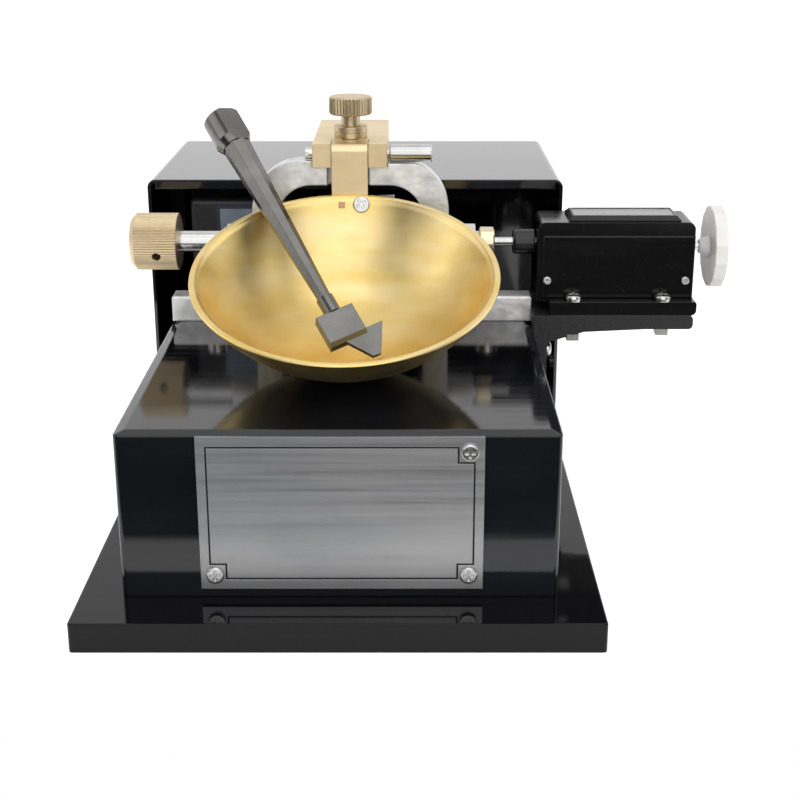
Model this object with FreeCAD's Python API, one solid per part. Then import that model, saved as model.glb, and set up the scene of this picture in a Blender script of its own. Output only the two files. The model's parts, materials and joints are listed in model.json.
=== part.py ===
import FreeCAD, Part
import math
import os

# Liquid limit device: a brass cup is lifted by a cam and drops on a hard rubber block.
# X runs to the right, Y to the back and Z up. The origin is the centre of the base plate's underside.
# Driving dimensions, in millimetres and degrees

# fits
running_clearance = 0.05      # radial, between a shaft and its bore
rest_clearance = 0.2          # between moving pieces that rest on each other
sliding_clearance = 0.2       # per side, between flat sliding pieces

# base plate and rubber block
plate_width = 152.5
plate_depth = 256.0
plate_thickness = 9.0
plate_corner_radius = 1.2
plate_edge_radius = 0.5
block_width = 127.0
block_depth = 148.0
block_height = 51.0
block_front_margin = 16.85
block_edge_radius = 1.5
block_bevel_width = 3.0       # of the flat bevel round the block's top
block_bevel_drop = 0.9
block_screw_inset = 22.0
block_screw_radius = 2.5
block_screw_length = 26.0
countersunk_head_depth = 2.6

# nameplate on the block's front
nameplate_width = 81.7
nameplate_height = 47.2
nameplate_thickness = 0.8
nameplate_drop = 0.9
nameplate_offset_x = 0.65
nameplate_line_inset_x = 2.6
nameplate_line_inset_z = 3.0
nameplate_line_width = 0.5
nameplate_line_depth = 0.2
nameplate_screw_inset_x = 4.2
nameplate_screw_inset_z = 4.6
nameplate_notch = 4.6
nameplate_screw_head_radius = 2.65
nameplate_screw_head_height = 1.1
nameplate_screw_radius = 1.2
nameplate_screw_length = 7.0

# arch frame
frame_setback = 112.3         # from the block's front to the frame's front
frame_depth = 9.0
bar_height = 9.0
bar_edge_radius = 0.8
arch_half_width = 34.0
arch_height = 57.0            # above the block
arch_side = 9.0
arch_top = 8.4
arch_outer_radius = 17.3
arch_inner_radius = 11.5
boss_radius = 6.2
boss_overhang = 9.5           # from the arch's side to a boss's outer end
boss_length = 19.5
channel_depth = 2.0
pin_groove_clearance = 0.25
lug_relief = 1.0
rail_half_width = 10.0
rail_depth = 7.5
lug_half_width = 7.0
lug_thickness = 3.5
lug_gap = 1.9
hanger_notch_left = 7.9
hanger_notch_right = 6.6
hanger_notch_depth = 4.0
frame_screw_spacing = 96.0
frame_screw_radius = 2.5
frame_screw_head_radius = 4.0
frame_screw_head_height = 3.0
frame_screw_length = 30.0

# camshaft and its pieces
camshaft_setback = 118.5      # from the block's front
camshaft_height = 27.5        # above the block
shaft_radius = 3.75
thin_shaft_radius = 1.55
bush_wall = 1.25
cup_drop = 10.0
cam_turn = 270.0
cam_half_width = 4.0
cam_hub_radius = 6.0
cam_hub_length = 4.6
hub_overlap = 0.5             # how far a hub reaches into its wheel
cam_clearance = 0.1
cam_end_relief = 8.0          # degrees over which the cam falls back
set_screw_radius = 1.5
set_screw_length = 2.1
set_screw_recess = 0.4
knob_radius = 10.0
knob_length = 16.3
knob_inset = 2.8              # from the block's side to the knob's inner end
knob_end_wall = 3.0
knob_flutes = 66
knob_flute_depth = 0.35
knob_bevel = 1.7
knob_inner_bevel = 0.3
knob_screw_angle = 201.0      # in the Y-Z plane, from +Y towards +Z
knob_screw_offset = 1.2       # from the knob's middle
collar_gap = 1.45             # from the right boss
collar_width = 5.25
collar_radius = 5.25
collar_bevel = 0.4
collar_screw_angle = 60.0
sleeve_radius = 4.4
sleeve_length = 7.8
sleeve_left_round = 1.2
sleeve_right_round = 0.5
sleeve_grip = 1.1             # the camshaft's reach into the sleeve
shaft_ends_gap = 0.6          # between the two shafts inside the sleeve
input_shaft_reach = 5.0       # inside the counter's wall
input_pinion_gap = 0.5

# gear train, module 1
gear_module = 1.0
pressure_angle = 20.0
gear_backlash = 0.16
gear_start = 9.0
gear_width = 6.0
camshaft_gear_teeth = 28
idler_teeth = 34
pinion_teeth = 24
idler_drop = 7.5              # idler axle below the camshaft
pinion_drop = 10.0            # motor shaft below the idler axle
gear_hub_radius = 6.5
gear_hub_length = 4.5

# drop carriage on the arch
carriage_width = 25.5
carriage_length = 55.3
carriage_front_overhang = 2.0
carriage_height = 8.4
clevis_gap_depth = 8.7
clamp_gap = 0.4               # between the hanger's head and the clamp screw's flange
clamp_shank_radius = 2.0
clamp_slot_play = 0.3
clamp_slot_margin = 0.5
clamp_head_radius = 7.5
clamp_head_height = 6.2
clamp_head_flutes = 38
clamp_flute_depth = 0.45
clamp_head_bevel = 0.6
clamp_neck_radius = 3.35
clamp_neck_height = 3.8
clamp_flange_radius = 5.8
clamp_flange_height = 2.2
washer_radius = 5.75
washer_height = 2.0
adjuster_height = 57.5        # above the block
adjuster_radius = 2.0
adjuster_reach = 9.0
adjuster_pitch = 0.8
adjuster_turns = 2.0
adjuster_collar_radius = 3.2
adjuster_collar_thickness = 1.2
adjuster_head_radius = 3.4
adjuster_head_length = 6.0
adjuster_head_flutes = 24
adjuster_flute_depth = 0.3
adjuster_head_bevel = 0.4

# hanger and pivot pin
pivot_setback = 115.0         # from the block's front
pivot_height = 59.3           # above the block
pin_radius = 2.05
pin_left_overhang = 2.7
pin_neck_radius = 1.7
pin_neck_length = 0.9
pin_handle_radius = 3.0
pin_handle_length = 14.5
pin_slot_width = 0.9
pin_slot_depth = 1.2
hanger_width = 12.3
hanger_thickness = 3.0
hanger_front_setback = 108.3  # from the block's front
hanger_bottom = 20.0          # above the block
hanger_head_behind_pin = 2.8
hanger_head_below_pin = 3.5
hanger_round = 2.6
pad_bottom = 37.0
pad_top = 44.8

# cup
cup_inner_radius = 54.0
cup_wall = 2.0
cup_depth = 27.0
cup_centre_setback = 52.9     # from the block's front
cup_tilt = 18.98
cup_lip_radius = 0.45
cup_screw_x = 4.06
cup_screw_height = 43.4       # above the block, on the inner wall
cup_screw_head_radius = 2.85
cup_screw_head_height = 1.0
cup_screw_radius = 1.5
cup_screw_length = 6.0
cup_screw_seat = 0.15          # how deep its head sits in the wall
cup_screw_slot_width = 0.85
cup_screw_slot_length = 3.5
cup_screw_slot_depth = 0.7
cup_screw_slot_turn = 30.0
peg_x = -2.68
peg_height = 43.2
peg_side = 2.1
peg_proud = 0.5
peg_length = 6.0

# counter at the right end
counter_gap = 1.3              # from the block's side
counter_width = 54.4
counter_front_setback = 108.0  # from the block's front
counter_depth = 19.8
counter_bottom = 9.8           # above the block
counter_top = 36.5
counter_wall = 2.0
counter_floor = 1.4
counter_shelf_thickness = 2.0
counter_shelf_rise = 4.0        # above the wheels' shaft
counter_corner_radius = 2.5
cover_top = 31.9
cover_left_inset = 1.9
cover_thickness = 0.9
cover_bevel = 0.3
cover_screw_height = 16.2
cover_screw_inset = 2.9        # from the counter's right end
cover_screw_spacing = 48.0
cover_screw_head_radius = 1.45
cover_screw_head_height = 0.8
cover_screw_radius = 0.8
cover_screw_length = 2.4
foot_front_setback = 102.0
foot_left_inset = 4.2          # from the counter's left end
foot_right_overhang = 0.7
foot_corner_radius = 0.6
foot_lower_round = 1.9
foot_upper_round = 0.9
mounting_screw_inset = 12.6    # from the counter's left end
mounting_screw_spacing = 30.9
mounting_screw_setback = 104.2
mounting_screw_radius = 1.5
mounting_screw_head_radius = 2.9
mounting_screw_head_height = 2.2
mounting_nut_width = 4.2
mounting_nut_height = 2.2
mounting_nut_play = 0.4
left_nut_drop = 2.0            # the left nuts sit on the gusset
window_inset = 10.8            # from the counter's left end
window_width = 38.6
window_front_setback = 108.9
window_depth = 16.3
window_frame_height = 2.0
window_frame_bevel = 1.4
window_border = 2.0
window_thickness = 1.2
window_drop = 0.15
wheel_radius = 7.0
wheel_width = 6.0
wheel_pitch = 6.6
wheel_inset = 16.2             # from the counter's left end
wheel_rim = 1.4
wheel_groove_depth = 1.0
reset_height = 25.8            # above the block
reset_shaft_radius = 1.5
reset_shaft_overhang = 3.0     # to the left of the first wheel
reset_knob_radius = 14.5
reset_knob_facets = 14
reset_knob_gap = 6.7           # from the counter's right end
reset_knob_width = 4.4
reset_knob_round = 0.5
reset_hub_radius = 3.9
reset_hub_length = 3.4
reset_hub_small_radius = 2.4
bracket_top = 4.9              # above the block
bracket_thickness = 4.9
bracket_leg_thickness = 5.0
bracket_leg_bottom = -19.0
bracket_reach = 55.5           # from the block's side
bracket_end_round = 1.6
bracket_gusset_drop = 4.8
bracket_gusset_kink = (12.7, 1.0)   # run from the leg, and drop there
bracket_gusset_reach = 34.0
bracket_screw_drop = 8.5
bracket_screw_inset = 5.0
bracket_screw_radius = 1.8
bracket_screw_head_radius = 2.4
bracket_screw_head_height = 1.9
bracket_screw_length = 16.0

# grooving tool resting in the cup
tool_rim_x = -26.18            # where its axis passes over the cup's rim
tool_rim_setback = 95.08
tool_rim_height = 44.98
tool_tip_x = 5.12              # where its axis passes the blade's tip
tool_tip_setback = 55.9
tool_tip_height = 2.13
tool_lift = 1.05               # towards the front, keeps the blade just clear of the cup
tool_head_start = 91.5         # lengths along the axis, measured from the tip
tool_head_length = 13.6
tool_head_radius = 6.3
tool_head_bevel = 1.0
tool_head_flat = 4.6           # from the axis
tool_head_flat_turn = 28.0     # from the blade's face towards its right side
tool_skirt_radius = 5.0
tool_skirt_length = 2.6
tool_collar_end = 25.9
tool_collar_start = 19.7
tool_collar_radius = 2.9
tool_shank_sides = 8
tool_shank_top_radius = 4.9
tool_shank_bottom_radius = 2.3
tool_block_end = 8.5
tool_block_width = 12.9
tool_block_thickness = 4.4
tool_block_bevel = 1.1
blade_roll = 30.0              # the blade's turn about the shank, away from facing the front
blade_thickness = 1.6
blade_start = 0.25
blade_tip_width = 2.8
blade_tip_offset = 5.7         # sideways from the axis to the tip's middle
blade_left_reach = 1.15        # from the axis to the blade's left corner, at the block's lower end
blade_right_reach = 12.9       # from the axis to the blade's right corner
blade_shoulder = 10.4
blade_root = 2.0

# hood and drive
hood_front_setback = 147.2
hood_overhang = 0.9            # past the plate's right edge
hood_back_setback = 238.6
hood_top = 44.0                # above the block
hood_sheet = 1.2
hood_corner_radius = 3.0
hood_lip = 3.4
hood_flange = 12.0
hood_screw_inset = 18.0
hood_screw_radius = 2.0
hood_screw_head_radius = 3.6
hood_screw_head_height = 2.2
hood_screw_length = 8.0
motor_side = 52.0
motor_corner_radius = 1.8
motor_end_radius = 1.2
motor_left = -61.0
motor_length = 49.0
gearbox_radius = 24.0
gearbox_length = 16.0
gearbox_bore_depth = 10.0
motor_shaft_radius = 4.0
motor_bracket_thickness = 3.0
motor_bracket_foot = 24.0
motor_bracket_gap = 1.5         # behind the block
motor_bracket_arm = 8.0
motor_bracket_arm_height = 3.0  # above the block
motor_bracket_play = 1.0        # round the motor's shaft
motor_screw_radius = 2.0
motor_screw_head_radius = 3.4
motor_screw_head_height = 2.0
motor_screw_circle = 20.0
motor_screw_length = 9.0
axle_radius = 3.0
axle_head_radius = 5.0
axle_head_thickness = 1.5
label_width = 34.0
label_height = 18.0
label_thickness = 0.3
label_left_inset = 9.6
label_top_inset = 0.3          # below the motor's round corner
inlet_width = 28.0
inlet_height = 20.0
inlet_flange = 3.0
inlet_depth = 18.0
inlet_inset = 29.15           # from the hood's right side to the inlet's middle
inlet_height_above_plate = 20.0
switch_width = 13.0
switch_height = 19.0
switch_depth = 14.0
switch_flange = 1.5
switch_spacing = 33.0         # from the inlet's middle to the switch's
rocker_proud = 1.6
rocker_tilt = 12.0
rocker_pivot_depth = 1.5
rocker_pin_radius = 0.8
rocker_pin_length = 1.0
switch_pocket_depth = 5.0
inlet_wall = 2.0
inlet_floor = 3.0
inlet_pin_width = 1.6
inlet_pin_height = 4.0
inlet_pin_places = ((-5.5, -1.5), (5.5, -1.5), (0, 2.5))   # across and up from the middle
panel_flange_thickness = 1.0

# Places worked out from the driving dimensions
block_front = -plate_depth / 2 + block_front_margin
block_top = plate_thickness + block_height
frame_front = block_front + frame_setback
frame_back = frame_front + frame_depth
camshaft_y = block_front + camshaft_setback
camshaft_z = block_top + camshaft_height
pivot_y = block_front + pivot_setback
pivot_z = block_top + pivot_height
hanger_front = block_front + hanger_front_setback
hanger_back = hanger_front + hanger_thickness
channel_z = block_top + arch_height - channel_depth
carriage_top = channel_z + carriage_height
carriage_front = frame_front - carriage_front_overhang
carriage_back = carriage_front + carriage_length
carriage_travel = adjuster_pitch * adjuster_turns
clamp_y = pivot_y + hanger_head_behind_pin + clamp_gap + clamp_flange_radius
adjuster_z = block_top + adjuster_height
lug_front = carriage_back + lug_gap
pin_left_ends = (-carriage_width / 2 - pin_left_overhang - 1, -carriage_width / 2)
pin_right_ends = (carriage_width / 2, carriage_width / 2 + pin_neck_length + pin_handle_length + 1)
lug_back = lug_front + lug_thickness
cup_outer_radius = cup_inner_radius + cup_wall
cup_centre_y = block_front + cup_centre_setback
cup_centre_z = block_top + cup_outer_radius + rest_clearance
rim_below_centre = cup_inner_radius - cup_depth
boss_end = arch_half_width + boss_overhang
boss_start = boss_end - boss_length
collar_start = boss_end + collar_gap
shaft_step = collar_start + collar_width
knob_inner_end = -block_width / 2 + knob_inset
knob_outer_end = knob_inner_end - knob_length
shaft_left_end = knob_outer_end + knob_end_wall
counter_left = block_width / 2 + counter_gap
counter_right = counter_left + counter_width
sleeve_end = counter_left - rest_clearance
sleeve_start = sleeve_end - sleeve_length
thin_shaft_end = sleeve_start + sleeve_grip
input_shaft_start = thin_shaft_end + shaft_ends_gap
foot_left = counter_left + foot_left_inset
foot_right = counter_right + foot_right_overhang
mounting_screw_left = counter_left + mounting_screw_inset
window_left = counter_left + window_inset
window_right = window_left + window_width
wheel_start = counter_left + wheel_inset
reset_shaft_start = wheel_start - reset_shaft_overhang
reset_knob_start = counter_right + reset_knob_gap
bracket_right = block_width / 2 + bracket_reach
counter_front = block_front + counter_front_setback
counter_back = counter_front + counter_depth
foot_front = block_front + foot_front_setback
foot_back = counter_back + (counter_front - foot_front)
foot_bottom_z = block_top + bracket_top
window_front = block_front + window_front_setback
window_back = window_front + window_depth
wheel_y = camshaft_y
wheel_z = block_top + reset_height
hood_front = block_front + hood_front_setback
hood_back = block_front + hood_back_setback
hood_left = -plate_width / 2
hood_right = plate_width / 2 + hood_overhang
hood_top_z = block_top + hood_top
inlet_x = hood_right - inlet_inset
switch_x = inlet_x - switch_spacing
gear_end = gear_start + gear_width
gearbox_start = motor_left + motor_length
gearbox_end = gearbox_start + gearbox_length
bracket_plate_end = gearbox_end + motor_bracket_thickness


def mesh_distance(teeth_a, teeth_b):
    return gear_module * (teeth_a + teeth_b) / 2


idler_z = camshaft_z - idler_drop
idler_y = camshaft_y + math.sqrt(mesh_distance(camshaft_gear_teeth, idler_teeth) ** 2 - idler_drop ** 2)
motor_z = idler_z - pinion_drop
motor_y = idler_y + math.sqrt(mesh_distance(idler_teeth, pinion_teeth) ** 2 - pinion_drop ** 2)

os.makedirs("parts", exist_ok=True)


# Shape helpers
def vec(x, y, z):
    return FreeCAD.Vector(x, y, z)


def save(node, shape):
    shape.exportStep("parts/" + node + ".step")


def box(x_range, y_range, z_range):
    size = [high - low for low, high in (x_range, y_range, z_range)]
    return Part.makeBox(size[0], size[1], size[2], vec(x_range[0], y_range[0], z_range[0]))


def rod_x(start, end, y, z, radius):
    return Part.makeCylinder(radius, end - start, vec(start, y, z), vec(1, 0, 0))


def rod_y(start, end, x, z, radius):
    return Part.makeCylinder(radius, end - start, vec(x, start, z), vec(0, 1, 0))


def rod_z(start, end, x, y, radius):
    return Part.makeCylinder(radius, end - start, vec(x, y, start), vec(0, 0, 1))


def place(shape, position, direction):
    """Turns a shape's +Z to a direction and moves its origin to a position."""
    placed = shape.copy()
    placed.Placement = FreeCAD.Placement(position, FreeCAD.Rotation(vec(0, 0, 1), direction))
    return placed


def edges_along(shape, axis, test=None):
    """Straight edges parallel to an axis, where the test on their middle point holds."""
    found = []
    for edge in shape.Edges:
        if not isinstance(edge.Curve, (Part.Line, Part.LineSegment)):
            continue
        run = edge.Vertexes[-1].Point - edge.Vertexes[0].Point
        if run.Length < 1e-6 or abs(abs(run.dot(axis)) / run.Length - 1) > 1e-6:
            continue
        middle = (edge.Vertexes[-1].Point + edge.Vertexes[0].Point) * 0.5
        if test is None or test(middle):
            found.append(edge)
    return found


def prism_x(points, start, end):
    """A closed outline of (y, z) points pulled from one x to another."""
    wire = Part.makePolygon([vec(start, y, z) for y, z in points + points[:1]])
    return Part.Face(wire).extrude(vec(end - start, 0, 0))


def prism_y(points, start, end):
    """A closed outline of (x, z) points pulled from one y to another."""
    wire = Part.makePolygon([vec(x, start, z) for x, z in points + points[:1]])
    return Part.Face(wire).extrude(vec(0, end - start, 0))


def fluted_disc(radius, height, flutes, depth, bevel, far_bevel):
    """A disc on +Z with straight V flutes round its edge and both ends bevelled."""
    points = []
    for i in range(2 * flutes):
        angle = math.pi * i / flutes
        r = radius - depth * (i % 2)
        points.append(vec(r * math.cos(angle), r * math.sin(angle), 0))
    disc = Part.Face(Part.makePolygon(points + points[:1])).extrude(vec(0, 0, height))
    outline = [vec(0, 0, 0), vec(radius - bevel, 0, 0), vec(radius, 0, bevel)]
    outline += [vec(radius, 0, height - far_bevel), vec(radius - far_bevel, 0, height), vec(0, 0, height)]
    barrel = Part.Face(Part.makePolygon(outline + outline[:1])).revolve(vec(0, 0, 0), vec(0, 0, 1), 360)
    return disc.common(barrel)


def cross_recess(width, length, depth, top):
    """The cut of a cross-head recess, down from a top height."""
    bars = [box((-a / 2, a / 2), (-b / 2, b / 2), (top - depth, top)) for a, b in
            ((width, length), (length, width))]
    return bars[0].fuse(bars[1])


def pan_screw(head_radius, head_height, radius, length):
    """A round-head screw: its head stands on z = 0 and its shank points down."""
    head = Part.makeCylinder(head_radius, head_height)
    top_edges = [e for e in head.Edges if e.BoundBox.ZMin > head_height * 0.9]
    head = head.makeFillet(head_height * 0.55, top_edges)
    recess = cross_recess(head_radius * 0.28, head_radius * 1.15, head_height * 0.5, head_height)
    return head.cut(recess).fuse(Part.makeCylinder(radius, length, vec(0, 0, -length))).removeSplitter()


def socket_screw(head_radius, head_height, radius, length):
    """A cylinder-head screw with a hexagon socket."""
    head = Part.makeCylinder(head_radius, head_height)
    flat = head_radius * 0.55
    points = []
    for i in range(6):
        angle = math.pi * i / 3
        points.append(vec(flat * math.cos(angle), flat * math.sin(angle), head_height))
    socket = Part.Face(Part.makePolygon(points + points[:1])).extrude(vec(0, 0, -head_height * 0.6))
    return head.cut(socket).fuse(Part.makeCylinder(radius, length, vec(0, 0, -length))).removeSplitter()


def group(shapes):
    return Part.makeCompound(shapes)


# Base
block_screw_places = [(sx * (block_width / 2 - block_screw_inset), y)
                      for sx in (-1, 1)
                      for y in (block_front + block_screw_inset,
                                block_front + block_depth - block_screw_inset)]
hood_screw_places = [(sx * (plate_width / 2 - hood_sheet - hood_flange / 2), y)
                     for sx in (-1, 1)
                     for y in (hood_front + hood_screw_inset, hood_back - hood_screw_inset)]
bracket_foot_x = (bracket_plate_end, bracket_plate_end + motor_bracket_foot)
bracket_screw_places = [(bracket_foot_x[1] - motor_bracket_foot / 3, motor_y + sy * motor_side / 3)
                        for sy in (-1, 1)]
foot_thickness = motor_bracket_thickness


def countersunk(x, y, clearance=0.0):
    """A countersunk screw from below, its head flush with the plate's underside."""
    r = block_screw_radius
    cone = Part.makeCone(r + countersunk_head_depth, r, countersunk_head_depth, vec(x, y, 0))
    return cone.fuse(rod_z(0, plate_thickness + block_screw_length, x, y, r)).removeSplitter()


def make_base_plate():
    plate = box((-plate_width / 2, plate_width / 2), (-plate_depth / 2, plate_depth / 2),
                (0, plate_thickness))
    plate = plate.makeFillet(plate_corner_radius, edges_along(plate, vec(0, 0, 1)))
    top_edges = [e for e in plate.Edges if e.BoundBox.ZMin > plate_thickness - 1e-3]
    plate = plate.makeFillet(plate_edge_radius, top_edges)
    for x, y in block_screw_places:
        plate = plate.cut(countersunk(x, y))
    for x, y in hood_screw_places:
        plate = plate.cut(rod_z(plate_thickness - hood_screw_length + hood_sheet, plate_thickness, x, y,
                                hood_screw_radius))
    for x, y in bracket_screw_places:
        plate = plate.cut(rod_z(plate_thickness - motor_screw_length + foot_thickness, plate_thickness, x, y,
                                motor_screw_radius))
    return plate


def nameplate_screw_places():
    """Three screws: the upper left corner has none."""
    left = nameplate_offset_x - nameplate_width / 2 + nameplate_screw_inset_x
    right = nameplate_offset_x + nameplate_width / 2 - nameplate_screw_inset_x
    top = block_top - nameplate_drop - nameplate_screw_inset_z
    bottom = block_top - nameplate_drop - nameplate_height + nameplate_screw_inset_z
    return [(right, top), (right, bottom), (left, bottom)]


def make_nameplate_screw(x, z):
    screw = pan_screw(nameplate_screw_head_radius, nameplate_screw_head_height, nameplate_screw_radius,
                      nameplate_screw_length)
    return place(screw, vec(x, block_front - nameplate_thickness, z), vec(0, -1, 0))


def make_frame_screw(sx):
    screw = socket_screw(frame_screw_head_radius, frame_screw_head_height, frame_screw_radius,
                         frame_screw_length)
    z = block_top + bar_height
    return place(screw, vec(sx * frame_screw_spacing / 2, (frame_front + frame_back) / 2, z), vec(0, 0, 1))


def make_bracket_screw(y):
    screw = pan_screw(bracket_screw_head_radius, bracket_screw_head_height, bracket_screw_radius,
                      bracket_screw_length)
    return place(screw, vec(block_width / 2 + bracket_leg_thickness, y, block_top - bracket_screw_drop),
                 vec(1, 0, 0))


block_screws = [countersunk(x, y) for x, y in block_screw_places]
nameplate_screws = [make_nameplate_screw(x, z) for x, z in nameplate_screw_places()]
frame_screws = [make_frame_screw(sx) for sx in (-1, 1)]
bracket_screws = [make_bracket_screw(y) for y in (foot_front + bracket_screw_inset,
                                                  foot_back - bracket_screw_inset)]


def make_rubber_block():
    bevel_bottom = block_top - block_bevel_drop
    block = box((-block_width / 2, block_width / 2), (block_front, block_front + block_depth),
                (plate_thickness, bevel_bottom))
    outlines = []
    for inset, z in ((0, bevel_bottom), (block_bevel_width, block_top)):
        x = block_width / 2 - inset
        front, back = block_front + inset, block_front + block_depth - inset
        outlines.append(Part.makePolygon([vec(-x, front, z), vec(x, front, z), vec(x, back, z),
                                          vec(-x, back, z), vec(-x, front, z)]))
    block = block.fuse(Part.makeLoft(outlines, True, True)).removeSplitter()
    block = block.makeFillet(block_edge_radius, edges_along(block, vec(0, 0, 1)))
    for screw in block_screws + nameplate_screws + frame_screws + bracket_screws:
        block = block.cut(screw)
    return block


def make_nameplate():
    left = nameplate_offset_x - nameplate_width / 2
    right = nameplate_offset_x + nameplate_width / 2
    top = block_top - nameplate_drop
    bottom = top - nameplate_height
    plate = box((left, right), (block_front - nameplate_thickness, block_front), (bottom, top))

    def notched_outline(inset):
        """A rectangle with square notches round the screws, as (x, z) points."""
        x0 = left + nameplate_line_inset_x + inset
        x1 = right - nameplate_line_inset_x - inset
        z0 = bottom + nameplate_line_inset_z + inset
        z1 = top - nameplate_line_inset_z - inset
        n = nameplate_notch
        return [(x0 + n, z0), (x1 - n, z0), (x1 - n, z0 + n), (x1, z0 + n), (x1, z1 - n), (x1 - n, z1 - n),
                (x1 - n, z1), (x0, z1), (x0, z0 + n), (x0 + n, z0 + n)]

    groove_back = block_front - nameplate_thickness + nameplate_line_depth
    outer = prism_y(notched_outline(0), block_front - nameplate_thickness - 1, groove_back)
    inner = prism_y(notched_outline(nameplate_line_width), block_front - nameplate_thickness - 2,
                    groove_back + 1)
    plate = plate.cut(outer.cut(inner))
    for screw in nameplate_screws:
        plate = plate.cut(screw)
    return plate


# Arch frame
def portal_face(half_width, top, radius, bottom, y):
    """An upright outline with two round upper corners, as a face at one y."""
    k = radius * math.sqrt(0.5)
    left_arc = Part.Arc(vec(-half_width, y, top - radius),
                        vec(-half_width + radius - k, y, top - radius + k),
                        vec(-half_width + radius, y, top))
    right_arc = Part.Arc(vec(half_width - radius, y, top),
                         vec(half_width - radius + k, y, top - radius + k),
                         vec(half_width, y, top - radius))
    edges = [Part.LineSegment(vec(-half_width, y, bottom), vec(-half_width, y, top - radius)).toShape(),
             left_arc.toShape(),
             Part.LineSegment(vec(-half_width + radius, y, top), vec(half_width - radius, y, top)).toShape(),
             right_arc.toShape(),
             Part.LineSegment(vec(half_width, y, top - radius), vec(half_width, y, bottom)).toShape(),
             Part.LineSegment(vec(half_width, y, bottom), vec(-half_width, y, bottom)).toShape()]
    return Part.Face(Part.Wire(edges))


def make_arch_frame():
    bar_top = block_top + bar_height
    bar = box((-block_width / 2, block_width / 2), (frame_front, frame_back), (block_top, bar_top))
    bar = bar.makeFillet(bar_edge_radius, [e for e in bar.Edges if e.BoundBox.ZMin > bar_top - 1e-3])
    outer = portal_face(arch_half_width, block_top + arch_height, arch_outer_radius,
                        block_top + bar_height / 2, frame_front).extrude(vec(0, frame_depth, 0))
    inner = portal_face(arch_half_width - arch_side, block_top + arch_height - arch_top, arch_inner_radius,
                        bar_top, frame_front - 1).extrude(vec(0, frame_depth + 2, 0))
    frame = bar.fuse(outer.cut(inner))
    for sx in (-1, 1):
        ends = sorted((sx * boss_start, sx * boss_end))
        frame = frame.fuse(rod_x(ends[0], ends[1], camshaft_y, camshaft_z, boss_radius))
    rail = box((-rail_half_width, rail_half_width), (frame_back - 1, lug_back),
               (channel_z - rail_depth, channel_z))
    lug = box((-lug_half_width, lug_half_width), (lug_front, lug_back),
              (channel_z - rail_depth, adjuster_z + adjuster_collar_radius + 1))
    frame = frame.fuse(rail).fuse(lug)
    channel_half = carriage_width / 2 + sliding_clearance
    frame = frame.cut(box((-channel_half, channel_half), (frame_front - 1, lug_front - 0.01),
                          (channel_z, block_top + arch_height + 1)))
    frame = frame.cut(box((-hanger_notch_left, hanger_notch_right),
                          (frame_front - 1, frame_front + hanger_notch_depth),
                          (block_top + bar_height + 1, block_top + arch_height + 1)))
    frame = frame.cut(box((-rail_half_width, rail_half_width), (carriage_back, lug_front),
                          (channel_z - lug_relief, channel_z)))
    for x_range, radius in ((pin_left_ends, pin_radius), (pin_right_ends, pin_handle_radius)):
        groove = radius + pin_groove_clearance
        frame = frame.cut(box(x_range, (frame_front - 1, pivot_y + groove),
                              (pivot_z - groove, block_top + arch_height + 1)))
    for sx in (-1, 1):
        ends = sorted((sx * boss_start, sx * boss_end))
        frame = frame.cut(rod_x(ends[0], ends[1], camshaft_y, camshaft_z, bush_outer_radius))
    frame = frame.cut(rod_z(channel_z - rail_depth, channel_z, 0, clamp_y,
                            clamp_shank_radius + running_clearance))
    frame = frame.cut(rod_y(lug_front - 1, lug_back + 1, 0, adjuster_z, adjuster_radius + running_clearance))
    for screw in frame_screws:
        frame = frame.cut(screw)
    return frame.removeSplitter()


bush_bore = shaft_radius + running_clearance
bush_outer_radius = bush_bore + bush_wall


def make_bushes():
    bushes = []
    for sx in (-1, 1):
        ends = sorted((sx * boss_start, sx * boss_end))
        bush = rod_x(ends[0], ends[1], camshaft_y, camshaft_z, bush_outer_radius)
        bushes.append(bush.cut(rod_x(ends[0], ends[1], camshaft_y, camshaft_z, bush_bore)))
    return group(bushes)


# Camshaft
pivot_to_camshaft_y = camshaft_y - pivot_y
pivot_to_camshaft_z = pivot_z - camshaft_z
pivot_to_follower = pivot_y - hanger_back


def lift_angle():
    """The hanger's turn, in radians, that raises the cup's lowest point by the drop height."""
    forward = pivot_y - cup_centre_y
    below = pivot_z - block_top
    reach = math.hypot(forward, below)
    return math.atan2(below, forward) + math.asin((cup_drop - below) / reach)


hanger_lift = lift_angle()


def cam_reach(hanger_turn):
    """Distance from the camshaft's axis to the hanger's rear face at a hanger turn."""
    return (pivot_to_camshaft_y * math.cos(hanger_turn) + pivot_to_camshaft_z * math.sin(hanger_turn)
            + pivot_to_follower - cam_clearance)


def cam_point(turn):
    """The cam's contact point, in its own (y, z), for a camshaft turn in radians."""
    k = hanger_lift / math.radians(cam_turn)
    hanger_turn = k * turn
    angle = math.pi - hanger_turn - turn
    reach = cam_reach(hanger_turn)
    slope = (-pivot_to_camshaft_y * math.sin(hanger_turn) + pivot_to_camshaft_z * math.cos(hanger_turn))
    sideways = -slope * k / (1 + k)
    return (reach * math.cos(angle) - sideways * math.sin(angle),
            reach * math.sin(angle) + sideways * math.cos(angle))


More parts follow.
